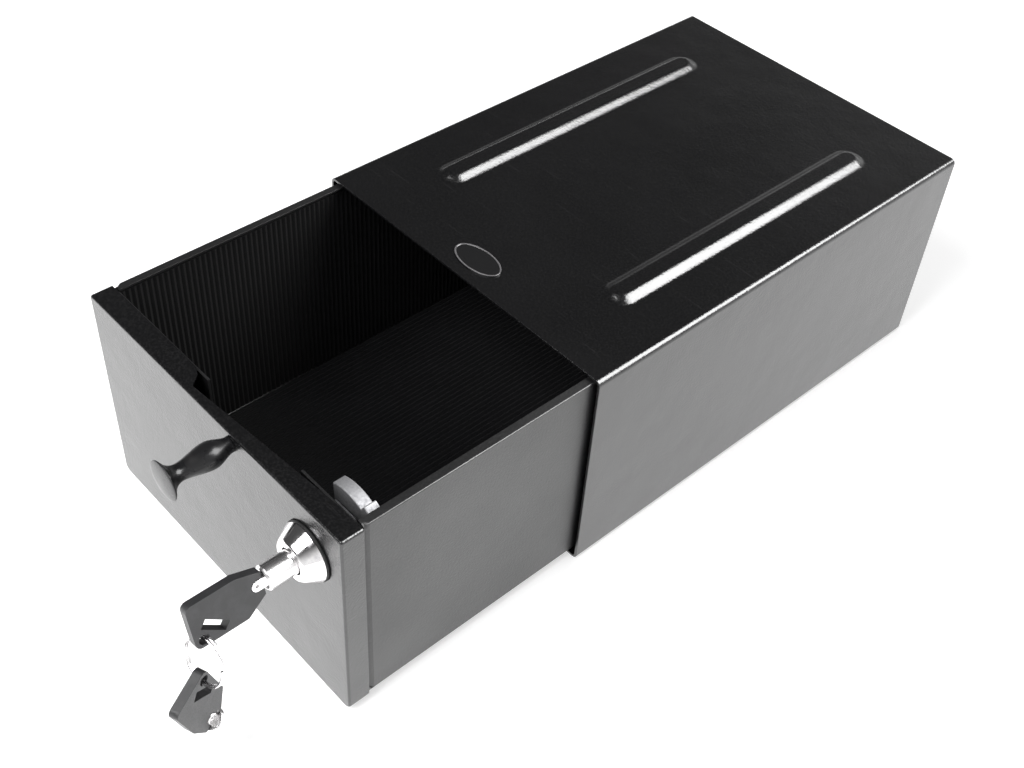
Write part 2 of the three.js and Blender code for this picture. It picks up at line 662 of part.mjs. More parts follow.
// Lock body: chromed cone outside, flatted barrel through both front walls
function makeLockBody() {
  const bore = PLUG_RADIUS + GAP;
  const profile = [
    [bore, -BEZEL_PROJECTION],
    [BEZEL_FACE_RADIUS - BEZEL_EDGE, -BEZEL_PROJECTION],
    [BEZEL_FACE_RADIUS, -BEZEL_PROJECTION + BEZEL_EDGE],
    [BEZEL_BASE_RADIUS, -GASKET_THICKNESS - BEZEL_EDGE],
    [BEZEL_BASE_RADIUS - BEZEL_EDGE / 2, -GASKET_THICKNESS],
    [LOCK_BARREL_RADIUS, -GASKET_THICKNESS],
    [LOCK_BARREL_RADIUS, LOCK_BARREL_END],
    [bore, LOCK_BARREL_END],
    [bore, -BEZEL_PROJECTION],
  ];
  const flats = [-1, 1].map((side) => drawerBox(
    LOCK_X + (side > 0 ? LOCK_FLAT : -LOCK_BARREL_RADIUS - OVERCUT),
    LOCK_X + (side > 0 ? LOCK_BARREL_RADIUS + OVERCUT : -LOCK_FLAT),
    0, LOCK_BARREL_END + OVERCUT,
    LOCK_Z - LOCK_BARREL_RADIUS, LOCK_Z + LOCK_BARREL_RADIUS,
  ));
  return mesh('lock_body', cut(turned(profile, LOCK_X, LOCK_Z, 48), flats), chromeLook);
}

function makeLockGasket() {
  return washer(
    'lock_gasket', GASKET_RADIUS, LOCK_BARREL_RADIUS + GAP,
    -GASKET_THICKNESS, 0, LOCK_X, LOCK_Z, gasketLook,
  );
}

function makeLockWasher() {
  return washer(
    'lock_washer', LOCK_WASHER_RADIUS, LOCK_BARREL_RADIUS + GAP,
    FRONT_WALL_REAR, FRONT_WALL_REAR + LOCK_WASHER_THICKNESS, LOCK_X, LOCK_Z, zincLook,
  );
}

function makeLockNut() {
  const start = FRONT_WALL_REAR + LOCK_WASHER_THICKNESS;
  return nut(
    'lock_nut', LOCK_NUT_FLATS, LOCK_BARREL_RADIUS + GAP,
    start, start + LOCK_NUT_THICKNESS, LOCK_X, LOCK_Z, zincLook,
  );
}

// Lock plug: the post the key slips over, the turning core, a square stud and a thread
function makeLockPlug() {
  const postEnd = -BEZEL_PROJECTION + BEZEL_EDGE;
  const keywayEnd = -BEZEL_PROJECTION + KEYWAY_DEPTH;
  const threadEnd = CAM_REAR + GAP + CAM_WASHER_THICKNESS + CAM_NUT_THICKNESS + OVERCUT;
  const square = drawerBox(
    LOCK_X - STUD_HALF, LOCK_X + STUD_HALF, LOCK_BARREL_END - OVERCUT, CAM_REAR,
    LOCK_Z - STUD_HALF, LOCK_Z + STUD_HALF,
  );
  const body = joined([
    rod(PLUG_POST_RADIUS, postEnd, 0, LOCK_X, LOCK_Z),
    rod(PLUG_RADIUS, keywayEnd, LOCK_BARREL_END, LOCK_X, LOCK_Z),
    square,
    rod(THREAD_RADIUS, LOCK_BARREL_END, threadEnd, LOCK_X, LOCK_Z, 24),
  ]);
  return mesh('lock_plug', body, chromeLook);
}

// Lock cam: a thick fan with a longer lug at its right end
function makeLockCam() {
  const radians = THREE.MathUtils.degToRad;
  const at = (radius, degrees) => [
    LOCK_X + radius * Math.cos(radians(degrees)),
    LOCK_Z + radius * Math.sin(radians(degrees)),
  ];
  const arc = (radius, from, to, parts) => {
    const points = [];
    for (let part = 0; part <= parts; part += 1) {
      points.push(at(radius, from + (to - from) * part / parts));
    }
    return points;
  };
  const fan = polygon([
    ...arc(CAM_LUG_RADIUS, CAM_LUG_START, CAM_LUG_END, 3),
    ...arc(CAM_RADIUS, CAM_LUG_END, CAM_FAN_END, 14),
    ...arc(CAM_HUB_RADIUS, CAM_FAN_END + 35, 360, 16),
    at(CAM_NOTCH_RADIUS, CAM_LUG_START - 12),
    at(CAM_LUG_RADIUS - (CAM_LUG_RADIUS - CAM_NOTCH_RADIUS) / 2, CAM_LUG_START),
  ]);
  const hole = STUD_HALF + GAP;
  const body = cut(carriedBack(fan, FACE_Y + CAM_FRONT, FACE_Y + CAM_REAR), [
    drawerBox(
      LOCK_X - hole, LOCK_X + hole, CAM_FRONT - OVERCUT, CAM_REAR + OVERCUT,
      LOCK_Z - hole, LOCK_Z + hole,
    ),
  ]);
  return mesh('lock_cam', body, zincLook);
}

function makeCamWasher() {
  const start = CAM_REAR + GAP;
  return washer(
    'cam_washer', CAM_WASHER_RADIUS, THREAD_RADIUS + GAP,
    start, start + CAM_WASHER_THICKNESS, LOCK_X, LOCK_Z, zincLook,
  );
}

function makeCamNut() {
  const start = CAM_REAR + GAP + CAM_WASHER_THICKNESS;
  return nut(
    'cam_nut', CAM_NUT_FLATS, THREAD_RADIUS + GAP,
    start, start + CAM_NUT_THICKNESS, LOCK_X, LOCK_Z, zincLook,
  );
}

// Both keys are drawn flat with U along the key toward the bow, V across it, W through it
function keyFrame(origin, along, across) {
  const through = new THREE.Vector3().crossVectors(along, across).normalize();
  const square = new THREE.Vector3().crossVectors(through, along).normalize();
  return new THREE.Matrix4().makeBasis(along, square, through).setPosition(origin);
}

// Tube and tongue of a key: the tube slips over the post of the plug, the flat tongue is
// moulded into the bow
function makeKeyBarrel(name, frame) {
  const profile = [
    [KEY_TUBE_BORE, KEY_TIP],
    [KEY_TUBE_RADIUS - GAP, KEY_TIP],
    [KEY_TUBE_RADIUS, KEY_TIP + GAP],
    [KEY_TUBE_RADIUS, KEY_TUBE_END - OVERCUT],
    [KEY_TUBE_RADIUS - OVERCUT, KEY_TUBE_END],
    [0, KEY_TUBE_END],
    [0, KEY_TIP + KEY_BORE_DEPTH],
    [KEY_TUBE_BORE, KEY_TIP + KEY_BORE_DEPTH],
    [KEY_TUBE_BORE, KEY_TIP],
  ];
  const points = profile.map(([radius, along]) => new THREE.Vector2(radius, along));
  const tube = new THREE.LatheGeometry(points, 32).rotateZ(-Math.PI / 2);
  const outline = new THREE.Shape();
  const round = KEY_TONGUE_END - KEY_TONGUE_HALF_WIDTH;
  outline.moveTo(KEY_TUBE_END - OVERCUT, -KEY_TONGUE_HALF_WIDTH);
  outline.lineTo(round, -KEY_TONGUE_HALF_WIDTH);
  outline.absarc(round, 0, KEY_TONGUE_HALF_WIDTH, -Math.PI / 2, Math.PI / 2, false);
  outline.lineTo(KEY_TUBE_END - OVERCUT, KEY_TONGUE_HALF_WIDTH);
  const eye = new THREE.Path();
  eye.absarc(round, 0, KEY_TONGUE_HOLE, 0, Math.PI * 2, true);
  outline.holes.push(eye);
  const tongue = extruded(outline, KEY_TONGUE_HALF_THICKNESS * 2, 10);
  tongue.translate(0, 0, -KEY_TONGUE_HALF_THICKNESS);
  const body = joined([solid(tube.applyMatrix4(frame)), solid(tongue.applyMatrix4(frame))]);
  return mesh(name, body, chromeLook);
}

// Bow of a key: flat plastic grip, wider on one side, with sloping shoulders, an open end for
// the tongue, a slanting window and a corner hole for the ring
function makeKeyBow(name, frame) {
  const slot = KEY_TONGUE_HALF_WIDTH + GAP;
  const round = KEY_TONGUE_END - KEY_TONGUE_HALF_WIDTH;
  const far = BOW_END - BOW_CORNER;
  const outline = new THREE.Shape();
  outline.moveTo(BOW_START, -BOW_NECK_HALF_WIDTH);
  outline.lineTo(BOW_NARROW_SHOULDER, -BOW_NARROW_SIDE);
  outline.absarc(far, BOW_CORNER - BOW_NARROW_SIDE, BOW_CORNER, -Math.PI / 2, 0, false);
  outline.absarc(far, BOW_WIDE_SIDE - BOW_CORNER, BOW_CORNER, 0, Math.PI / 2, false);
  outline.lineTo(BOW_WIDE_SHOULDER, BOW_WIDE_SIDE);
  outline.lineTo(BOW_START, BOW_NECK_HALF_WIDTH);
  outline.lineTo(BOW_START, slot);
  outline.lineTo(round, slot);
  outline.absarc(round, 0, slot, Math.PI / 2, -Math.PI / 2, true);
  outline.lineTo(BOW_START, -slot);
  outline.closePath();
  const ringHole = new THREE.Path();
  ringHole.absarc(BOW_HOLE_ALONG, BOW_HOLE_ACROSS, BOW_HOLE_RADIUS, 0, Math.PI * 2, true);
  const window = new THREE.Path(BOW_WINDOW.map(([along, across]) => (
    new THREE.Vector2(along, across)
  )));
  outline.holes.push(ringHole, window);
  const plate = extruded(outline, BOW_THICKNESS, 10).translate(0, 0, -BOW_THICKNESS / 2);
  return mesh(name, solid(plate.applyMatrix4(frame)), bowLook);
}

// Where the keys and the ring are: the ring hangs from the hole of the key in the lock,
// and the spare key hangs from the ring
const keyAlong = new THREE.Vector3(0, -1, 0);
const keyAcross = new THREE.Vector3(Math.sin(KEY_TURN), 0, -Math.cos(KEY_TURN));
const keyPlace = keyFrame(new THREE.Vector3(LOCK_X, FACE_Y, LOCK_Z), keyAlong, keyAcross);
const bowHole = new THREE.Vector3(BOW_HOLE_ALONG, BOW_HOLE_ACROSS, 0);
const ringCentre = bowHole.clone().applyMatrix4(keyPlace)
  .addScaledVector(RING_TO_KEY, -RING_RADIUS);
const spareHole = ringCentre.clone().addScaledVector(RING_TO_SPARE, RING_RADIUS);
const spareTurn = keyFrame(new THREE.Vector3(), SPARE_ALONG, SPARE_ACROSS);
const sparePlace = spareTurn.clone()
  .setPosition(spareHole.clone().sub(bowHole.clone().applyMatrix4(spareTurn)));

// Split ring: a spring wire wound just short of two turns
class RingPath extends THREE.Curve {
  getPoint(share, target = new THREE.Vector3()) {
    const toKey = RING_TO_KEY.clone().normalize();
    const sideways = new THREE.Vector3().crossVectors(RING_AXIS, toKey).normalize();
    const turn = Math.PI / 2 + share * RING_TURNS * Math.PI * 2;
    const climb = (share - 0.5) * RING_TURNS * RING_PITCH;
    return target.copy(ringCentre)
      .addScaledVector(toKey, RING_RADIUS * Math.cos(turn))
      .addScaledVector(sideways, RING_RADIUS * Math.sin(turn))
      .addScaledVector(RING_AXIS, climb);
  }
}

function makeSplitRing() {
  const sides = [0, 1, 2, 3, 4, 5, 6, 7].map((side) => side * Math.PI / 4);
  const wire = polygon(sides.map((turn) => [
    RING_WIRE_RADIUS * Math.cos(turn),
    RING_WIRE_RADIUS * Math.sin(turn),
  ]));
  const geometry = new THREE.ExtrudeGeometry(wire, { steps: 72, extrudePath: new RingPath() });
  return mesh('split_ring', solid(geometry), chromeLook);
}

// The whole part
const safe = new THREE.Group();
safe.name = 'portable_car_safe';
safe.add(
  makeSleeveShell(),
  makeBackPanel(),
  makeOvalPlate(),
  makeLatchStrike(),
  makeDrawerStop(),
  makeGlideStrip('glide_strip_left', -GLIDE_CENTRE_X),
  makeGlideStrip('glide_strip_right', GLIDE_CENTRE_X),
  makeDrawerFront(),
  makeDrawerTray(),
  makeFloorLining(),
  makeSideLining('lining_left', -1, FRONT_WALL_REAR + GAP),
  makeSideLining('lining_right', 1, LINING_CAM_CLEAR),
  makeEndLining(
    'lining_front', FRONT_WALL_REAR, 1,
    LOCK_Z - LOCK_NUT_FLATS / Math.sqrt(3) - LINING_BELOW_LOCK,
  ),
  makeEndLining(
    'lining_back', BACK_WALL_FRONT, -1, ROOF_UNDERSIDE - STOP_DROP - LINING_BELOW_STOP,
  ),
  makeKnob(),
  makeKnobScrew(),
  makeKnobWasher(),
  makeLockBody(),
  makeLockGasket(),
  makeLockWasher(),
  makeLockNut(),
  makeLockPlug(),
  makeLockCam(),
  makeCamWasher(),
  makeCamNut(),
  makeKeyBarrel('key_barrel', keyPlace),
  makeKeyBow('key_bow', keyPlace),
  makeSplitRing(),
  makeKeyBarrel('spare_key_barrel', sparePlace),
  makeKeyBow('spare_key_bow', sparePlace),
);

export default safe;
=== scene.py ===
import json
import math

import bmesh
import bpy
from mathutils import Matrix, Vector


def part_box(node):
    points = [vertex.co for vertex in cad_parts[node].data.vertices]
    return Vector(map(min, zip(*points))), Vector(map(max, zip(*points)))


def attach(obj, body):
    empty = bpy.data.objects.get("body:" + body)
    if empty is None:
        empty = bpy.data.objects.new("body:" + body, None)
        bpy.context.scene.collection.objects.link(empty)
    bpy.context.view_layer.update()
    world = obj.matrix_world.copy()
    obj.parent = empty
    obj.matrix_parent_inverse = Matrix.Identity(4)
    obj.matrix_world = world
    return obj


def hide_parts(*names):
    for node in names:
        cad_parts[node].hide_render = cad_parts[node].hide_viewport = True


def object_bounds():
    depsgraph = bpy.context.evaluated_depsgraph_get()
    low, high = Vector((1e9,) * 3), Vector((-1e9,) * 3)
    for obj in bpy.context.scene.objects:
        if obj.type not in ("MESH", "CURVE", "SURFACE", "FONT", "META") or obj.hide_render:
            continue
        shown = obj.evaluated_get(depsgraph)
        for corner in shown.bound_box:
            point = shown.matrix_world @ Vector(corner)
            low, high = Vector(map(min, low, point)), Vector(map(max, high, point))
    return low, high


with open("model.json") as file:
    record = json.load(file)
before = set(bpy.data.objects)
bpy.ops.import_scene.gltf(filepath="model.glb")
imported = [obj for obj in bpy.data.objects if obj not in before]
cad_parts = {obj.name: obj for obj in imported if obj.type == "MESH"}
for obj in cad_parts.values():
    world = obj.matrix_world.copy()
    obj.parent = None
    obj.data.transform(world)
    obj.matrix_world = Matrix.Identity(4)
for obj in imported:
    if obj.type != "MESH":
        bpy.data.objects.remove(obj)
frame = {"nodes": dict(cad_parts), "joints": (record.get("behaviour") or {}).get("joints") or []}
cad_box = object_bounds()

# Sleeve shell: one sheet of mild steel bent into a tube and welded, painted satin black.
# Two long ribs are pressed up in its roof to stiffen it, and four screw holes go through
# its floor, where it is fixed to the vehicle.
MM = 0.001
SHELL_SHEET = 1.5 * MM
SHELL_BEND = 3 * MM
SHELL_BEND_STEPS = 8
RIB_RISE = 3 * MM
RIB_CENTRE_X = 62 * MM
RIB_FROM_FRONT = 43 * MM
RIB_LENGTH = 198 * MM
RIB_FOOT_RADIUS = 10 * MM
RIB_CREST_RADIUS = 3.5 * MM
RIB_BORDER = 0.8 * MM
RIB_SIDES = 64
RIB_STEPS = 10
FIXING_HOLE_RADIUS = 3.5 * MM
FIXING_HOLE_X = 60 * MM
FIXING_HOLE_Y = 95 * MM
FIXING_HOLE_SIDES = 32
SHELL_EASING = 0.25 * MM
DOUBLES_WITHIN = 0.002 * MM
SHARP_FROM = math.radians(32)
FLAT_FACE_WEIGHT = 100
PAINT_BLACK = (0.003, 0.003, 0.0034)
PAINT_WORN = (0.034, 0.033, 0.034)
PAINT_IOR = 1.66
SHELL_ROUGHNESS = (0.19, 0.25)
CLOUDS_PER_METRE = 14
CLOUD_LIFT = 1.5
SCRATCHES_PER_METRE = 30
SCRATCH_STRETCH = (1, 34, 34)
SCRATCH_LIMITS = (0.70, 0.76)
SCRATCH_SHARE = 0.55
GRAINS_PER_METRE = 1000
GRAIN_LIMITS = (0.45, 0.7)
GRAIN_SHARE = 0.30
GRAIN_DEPTH = 0.06 * MM
PEEL_PER_METRE = 800
PEEL_DEPTH = 0.13 * MM
WAVES_PER_METRE = 40
WAVE_DEPTH = 0.30 * MM
NOISE_MIDDLE = (0.3, 0.7)
shell_low, shell_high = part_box("sleeve_shell")
roof = shell_high.z - RIB_RISE


def new_material(name, colour, roughness=0.5, metallic=0.0, ior=1.5):
    """Starts a material from its plain values, which its nodes then vary."""
    made = bpy.data.materials.new(name)
    made.use_nodes = True
    shader = made.node_tree.nodes["Principled BSDF"]
    shader.inputs["Base Color"].default_value = (*colour, 1)
    shader.inputs["Roughness"].default_value = roughness
    shader.inputs["Metallic"].default_value = metallic
    shader.inputs["IOR"].default_value = ior
    return made, made.node_tree, shader


def noise_on(tree, scale, detail=3.0, stretch=(1, 1, 1)):
    """Noise fixed to the piece, with about that many grains to a metre."""
    place = tree.nodes.new("ShaderNodeTexCoord")
    mapping = tree.nodes.new("ShaderNodeMapping")
    mapping.inputs["Scale"].default_value = stretch
    noise = tree.nodes.new("ShaderNodeTexNoise")
    noise.inputs["Scale"].default_value = scale
    noise.inputs["Detail"].default_value = detail
    tree.links.new(place.outputs["Object"], mapping.inputs["Vector"])
    tree.links.new(mapping.outputs["Vector"], noise.inputs["Vector"])
    return noise.outputs["Fac"]


def height_on(tree):
    """How high a point of the piece is, in metres above the underside of the sleeve."""
    place = tree.nodes.new("ShaderNodeTexCoord")
    axes = tree.nodes.new("ShaderNodeSeparateXYZ")
    tree.links.new(place.outputs["Object"], axes.inputs["Vector"])
    return axes.outputs["Z"]


def spread(tree, value, limits, results):
    """Stretches a value between two limits to another range."""
    ranged = tree.nodes.new("ShaderNodeMapRange")
    sockets = ("From Min", "From Max", "To Min", "To Max")
    for socket, number in zip(sockets, (*limits, *results)):
        ranged.inputs[socket].default_value = number
    tree.links.new(value, ranged.inputs["Value"])
    return ranged.outputs["Result"]


def mixed(tree, factor, first, second):
    """Mixes two colours, or a colour and a colour socket, by a factor socket."""
    mix = tree.nodes.new("ShaderNodeMix")
    mix.data_type = "RGBA"
    tree.links.new(factor, mix.inputs["Factor"])
    for socket, colour in ((mix.inputs["A"], first), (mix.inputs["B"], second)):
        if isinstance(colour, tuple):
            socket.default_value = (*colour, 1)
        else:
            tree.links.new(colour, socket)
    return mix.outputs["Result"]


def add_relief(tree, shader, *reliefs):
    """Adds bumps to a shader, each a height socket with its depth in metres."""
    below = None
    for height, depth in reliefs:
        bump = tree.nodes.new("ShaderNodeBump")
        bump.inputs["Distance"].default_value = depth
        tree.links.new(height, bump.inputs["Height"])
        if below is not None:
            tree.links.new(below, bump.inputs["Normal"])
        below = bump.outputs["Normal"]
    tree.links.new(below, shader.inputs["Normal"])


def tint(tree, shader, value, limits, plain, tinted, share=1):
    """Colours a shader, and brings in a second colour up to a share where the value is high."""
    amount = spread(tree, value, limits, (0, share))
    tree.links.new(mixed(tree, amount, plain, tinted), shader.inputs["Base Color"])


def vary_roughness(tree, shader, value, limits, roughness):
    """Lets a shader's roughness follow a value from one figure to another."""
    tree.links.new(spread(tree, value, limits, roughness), shader.inputs["Roughness"])


def satin_paint(name, black, roughness):
    """Stoved satin paint on wavy sheet: orange peel, cloudy sheen and a few hair scratches."""
    made, tree, shader = new_material(name, black, ior=PAINT_IOR)
    clouds = noise_on(tree, CLOUDS_PER_METRE, detail=5)
    grain = noise_on(tree, GRAINS_PER_METRE)
    scratches = noise_on(tree, SCRATCHES_PER_METRE, detail=2, stretch=SCRATCH_STRETCH)
    cloudy = mixed(tree, clouds, black, tuple(part * CLOUD_LIFT for part in black))
    grainy = mixed(
        tree, spread(tree, grain, GRAIN_LIMITS, (0, GRAIN_SHARE)), cloudy, PAINT_WORN,
    )
    tint(tree, shader, scratches, SCRATCH_LIMITS, grainy, PAINT_WORN, share=SCRATCH_SHARE)
    vary_roughness(tree, shader, clouds, NOISE_MIDDLE, roughness)
    add_relief(
        tree, shader,
        (noise_on(tree, WAVES_PER_METRE, detail=2), WAVE_DEPTH),
        (noise_on(tree, PEEL_PER_METRE), PEEL_DEPTH),
        (grain, GRAIN_DEPTH),
    )
    return made


def finished_piece(name, form, body, slot, material, *nodes):
    """Makes a shaped mesh a smooth piece that rides on its body and stands for its nodes."""
    bmesh.ops.remove_doubles(form, verts=form.verts, dist=DOUBLES_WITHIN)
    bmesh.ops.recalc_face_normals(form, faces=form.faces)
    made = bpy.data.meshes.new(name)
    form.to_mesh(made)
    form.free()
    made.polygons.foreach_set("use_smooth", [True] * len(made.polygons))
    made.set_sharp_from_angle(angle=SHARP_FROM)
    made.materials.append(material)
    piece = bpy.data.objects.new(name, made)
    bpy.context.scene.collection.objects.link(piece)
    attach(piece, body)
    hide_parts(*nodes)
    return piece


def ease_edges(piece, radius, segments=2):
    """Rounds the sharp edges a little, and keeps the broad faces flat to the eye."""
    bevel = piece.modifiers.new("eased_edges", "BEVEL")
    bevel.width = radius
    bevel.segments = segments
    bevel.limit_method = "ANGLE"
    bevel.angle_limit = SHARP_FROM
    bevel.miter_outer = "MITER_ARC"
    weighted = piece.modifiers.new("flat_faces", "WEIGHTED_NORMAL")
    weighted.weight = FLAT_FACE_WEIGHT
    weighted.keep_sharp = True


def edges_among(verts):
    """The edges that join these points to each other."""
    chosen = set(verts)
    return list({
        edge for vert in verts for edge in vert.link_edges
        if edge.verts[0] in chosen and edge.verts[1] in chosen
    })


def long_oval(form, radius, straight, centre, z):
    """A closed line with straight sides along Y and round ends, and its points."""
    made = bmesh.ops.create_circle(form, segments=RIB_SIDES, radius=radius)["verts"]
    for vert in made:
        if abs(vert.co.y) > radius / RIB_SIDES:
            vert.co.y += math.copysign(straight, vert.co.y)
    bmesh.ops.translate(form, verts=made, vec=(centre.x, centre.y, z))
    return made


def press_rib(form, border, centre, straight):
    """Raises a rib inside its border in eased steps, as steel takes over a tool."""
    level = border
    radius = RIB_FOOT_RADIUS + RIB_BORDER
    for step in range(RIB_STEPS + 1):
        share = step / RIB_STEPS
        next_radius = RIB_FOOT_RADIUS + (RIB_CREST_RADIUS - RIB_FOOT_RADIUS) * share
        grown = bmesh.ops.extrude_edge_only(form, edges=edges_among(level))["geom"]
        level = [part for part in grown if isinstance(part, bmesh.types.BMVert)]
        for vert in level:
            along = max(-straight, min(straight, vert.co.y - centre.y))
            spine = Vector((centre.x, centre.y + along, 0))
            outward = Vector((vert.co.x, vert.co.y, 0)) - spine
            vert.co = spine + outward * (next_radius / radius)
            vert.co.z = roof + RIB_RISE * share * share * (3 - 2 * share)
        radius = next_radius
    bmesh.ops.edgeloop_fill(form, edges=edges_among(level))


def refill_panel(form, panel, loops):
    """Fills a flat panel again round the closed lines that are drawn in it."""
    border = list(panel.edges)
    facing = panel.normal.copy()
    bmesh.ops.delete(form, geom=[panel], context="FACES_ONLY")
    bmesh.ops.triangle_fill(form, edges=border + loops, use_beauty=True, normal=facing)


shell = bmesh.new()
bmesh.ops.create_cube(shell, size=1)
bmesh.ops.scale(
    shell, verts=shell.verts,
    vec=(shell_high.x - shell_low.x, shell_high.y - shell_low.y, roof),
)
bmesh.ops.translate(shell, verts=shell.verts, vec=(0, 0, roof / 2))
shell.normal_update()
open_ends = [face for face in shell.faces if round(abs(face.normal.y)) == 1]
bmesh.ops.delete(shell, geom=open_ends, context="FACES_ONLY")
long_edges = [
    edge for edge in shell.edges
    if abs(edge.verts[0].co.y - edge.verts[1].co.y) > SHELL_BEND
]
bmesh.ops.bevel(
    shell, geom=long_edges, offset=SHELL_BEND, segments=SHELL_BEND_STEPS,
    affect="EDGES", profile=0.5, material=-1,
)
shell.normal_update()
roof_panel = max(shell.faces, key=lambda face: face.calc_center_median().z)
floor_panel = min(shell.faces, key=lambda face: face.calc_center_median().z)
rib_straight = RIB_LENGTH / 2 - RIB_FOOT_RADIUS
rib_centre_y = shell_low.y + RIB_FROM_FRONT + RIB_LENGTH / 2
rib_centres = [Vector((side * RIB_CENTRE_X, rib_centre_y, 0)) for side in (-1, 1)]
rib_borders = [
    long_oval(shell, RIB_FOOT_RADIUS + RIB_BORDER, rib_straight, centre, roof)
    for centre in rib_centres
]
refill_panel(
    shell, roof_panel, [edge for border in rib_borders for edge in edges_among(border)],
)
for border, centre in zip(rib_borders, rib_centres):
    press_rib(shell, border, centre, rib_straight)
hole_edges = []
for hole_x in (-FIXING_HOLE_X, FIXING_HOLE_X):
    for hole_y in (-FIXING_HOLE_Y, FIXING_HOLE_Y):
        rim = bmesh.ops.create_circle(
            shell, segments=FIXING_HOLE_SIDES, radius=FIXING_HOLE_RADIUS,
        )["verts"]
        bmesh.ops.translate(shell, verts=rim, vec=(hole_x, hole_y, 0))
        hole_edges += edges_among(rim)
refill_panel(shell, floor_panel, hole_edges)
black_paint = satin_paint("satin_black_paint", PAINT_BLACK, SHELL_ROUGHNESS)
sleeve = finished_piece(
    "pressed_sleeve", shell, "sleeve_body", "black_paint", black_paint, "sleeve_shell",
)
wall = sleeve.modifiers.new("sheet", "SOLIDIFY")
wall.thickness = SHELL_SHEET
wall.offset = -1
wall.use_even_offset = True
ease_edges(sleeve, SHELL_EASING)

# Back panel: a shallow pan of the same painted sheet, its flanges turned forward and
# welded inside the rear end of the sleeve.
NEAR = 0.01 * MM
FLAT_WITHIN = math.radians(0.6)
SHEET_EASING = 0.3 * MM


def merged_copy(node):
    """A copy of a CAD node's mesh with its loose triangles joined into whole faces."""
    form = bmesh.new()
    form.from_mesh(frame["nodes"][node].data)
    bmesh.ops.remove_doubles(form, verts=form.verts, dist=NEAR)
    bmesh.ops.dissolve_limit(
        form, angle_limit=FLAT_WITHIN, verts=form.verts, edges=form.edges,
    )
    return form


def finished_copy(node, body, slot, material, radius, segments=2):
    """Dresses one CAD node: its own form, joined, with eased edges."""
    piece = finished_piece(f"{node}_finished", merged_copy(node), body, slot, material, node)
    ease_edges(piece, radius, segments)
    return piece


finished_copy("sleeve_back_panel", "sleeve_body", "black_paint", black_paint, SHEET_EASING)

# Oval plate: a small blank oval of thin painted steel with a raised rim, stuck flat
# on the roof behind its front edge. The rim's lighter grey all round is a painted highlight.
OVAL_RIM_WIDTH = 0.7 * MM
OVAL_RECESS = 0.3 * MM
OVAL_SIDES = 96
OVAL_EASING = 0.15 * MM
PLATE_BLACK = (0.004, 0.004, 0.0045)
PLATE_GREY = (0.009, 0.009, 0.010)
PLATE_RIM_HIGHLIGHT = (0.26, 0.25, 0.26)
PLATE_ROUGHNESS = 0.32
PLATE_GRAINS_PER_METRE = 900
PLATE_GRAIN_DEPTH = 0.02 * MM
RIM_HIGHLIGHT_STARTS = 0.7
RIM_HIGHLIGHT_ENDS = 0.2
RIM_HIGHLIGHT_SHARE = 0.6
oval_low, oval_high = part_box("oval_plate")
oval_centre = (oval_low + oval_high) / 2
oval_half = (oval_high - oval_low) / 2

plate_paint, plate_tree, plate_shader = new_material(
    "plate_paint", PLATE_BLACK, PLATE_ROUGHNESS, ior=PAINT_IOR,
)
plate_grain = noise_on(plate_tree, PLATE_GRAINS_PER_METRE)
plate_face = mixed(plate_tree, plate_grain, PLATE_BLACK, PLATE_GREY)
# Painted highlight: the raised rim is tinted lighter grey by height, in place of the light its
# edge catches.
rim_highlight_heights = [
    oval_high.z - OVAL_RECESS * share for share in (RIM_HIGHLIGHT_STARTS, RIM_HIGHLIGHT_ENDS)
]
tint(
    plate_tree, plate_shader, height_on(plate_tree), rim_highlight_heights, plate_face, PLATE_RIM_HIGHLIGHT,
    share=RIM_HIGHLIGHT_SHARE,
)
add_relief(plate_tree, plate_shader, (plate_grain, PLATE_GRAIN_DEPTH))

oval = bmesh.new()
bmesh.ops.create_circle(oval, segments=OVAL_SIDES, radius=1, cap_ends=True)
bmesh.ops.scale(oval, verts=oval.verts, vec=(oval_half.x, oval_half.y, 1))
oval_base = list(oval.faces)
raised = bmesh.ops.extrude_face_region(oval, geom=oval_base)["geom"]
oval_top = [part for part in raised if isinstance(part, bmesh.types.BMVert)]
bmesh.ops.translate(oval, verts=oval_top, vec=(0, 0, oval_half.z * 2))
bmesh.ops.translate(oval, verts=oval.verts, vec=(oval_centre.x, oval_centre.y, oval_low.z))
oval.normal_update()
oval_face = max(oval.faces, key=lambda face: face.calc_center_median().z)
bmesh.ops.inset_region(oval, faces=[oval_face], thickness=OVAL_RIM_WIDTH, use_even_offset=True)
bmesh.ops.inset_region(oval, faces=[oval_face], thickness=OVAL_RECESS / 2, depth=-OVAL_RECESS)
oval_piece = finished_piece(
    "oval_plate_finished", oval, "sleeve_body", "plate_paint", plate_paint, "oval_plate",
)
ease_edges(oval_piece, OVAL_EASING)

# Drawer stop and latch strike: two folded angles of painted steel, spot welded under the
# roof. The stop meets the back of the tray, and the cam of the lock turns behind the strike.
BRACKET_BLACK = (0.026, 0.026, 0.028)
BRACKET_ROUGHNESS = (0.36, 0.46)
bracket_paint = satin_paint("bracket_paint", BRACKET_BLACK, BRACKET_ROUGHNESS)
for bracket in ("drawer_stop", "latch_strike"):
    finished_copy(bracket, "sleeve_body", "bracket_paint", bracket_paint, SHEET_EASING)

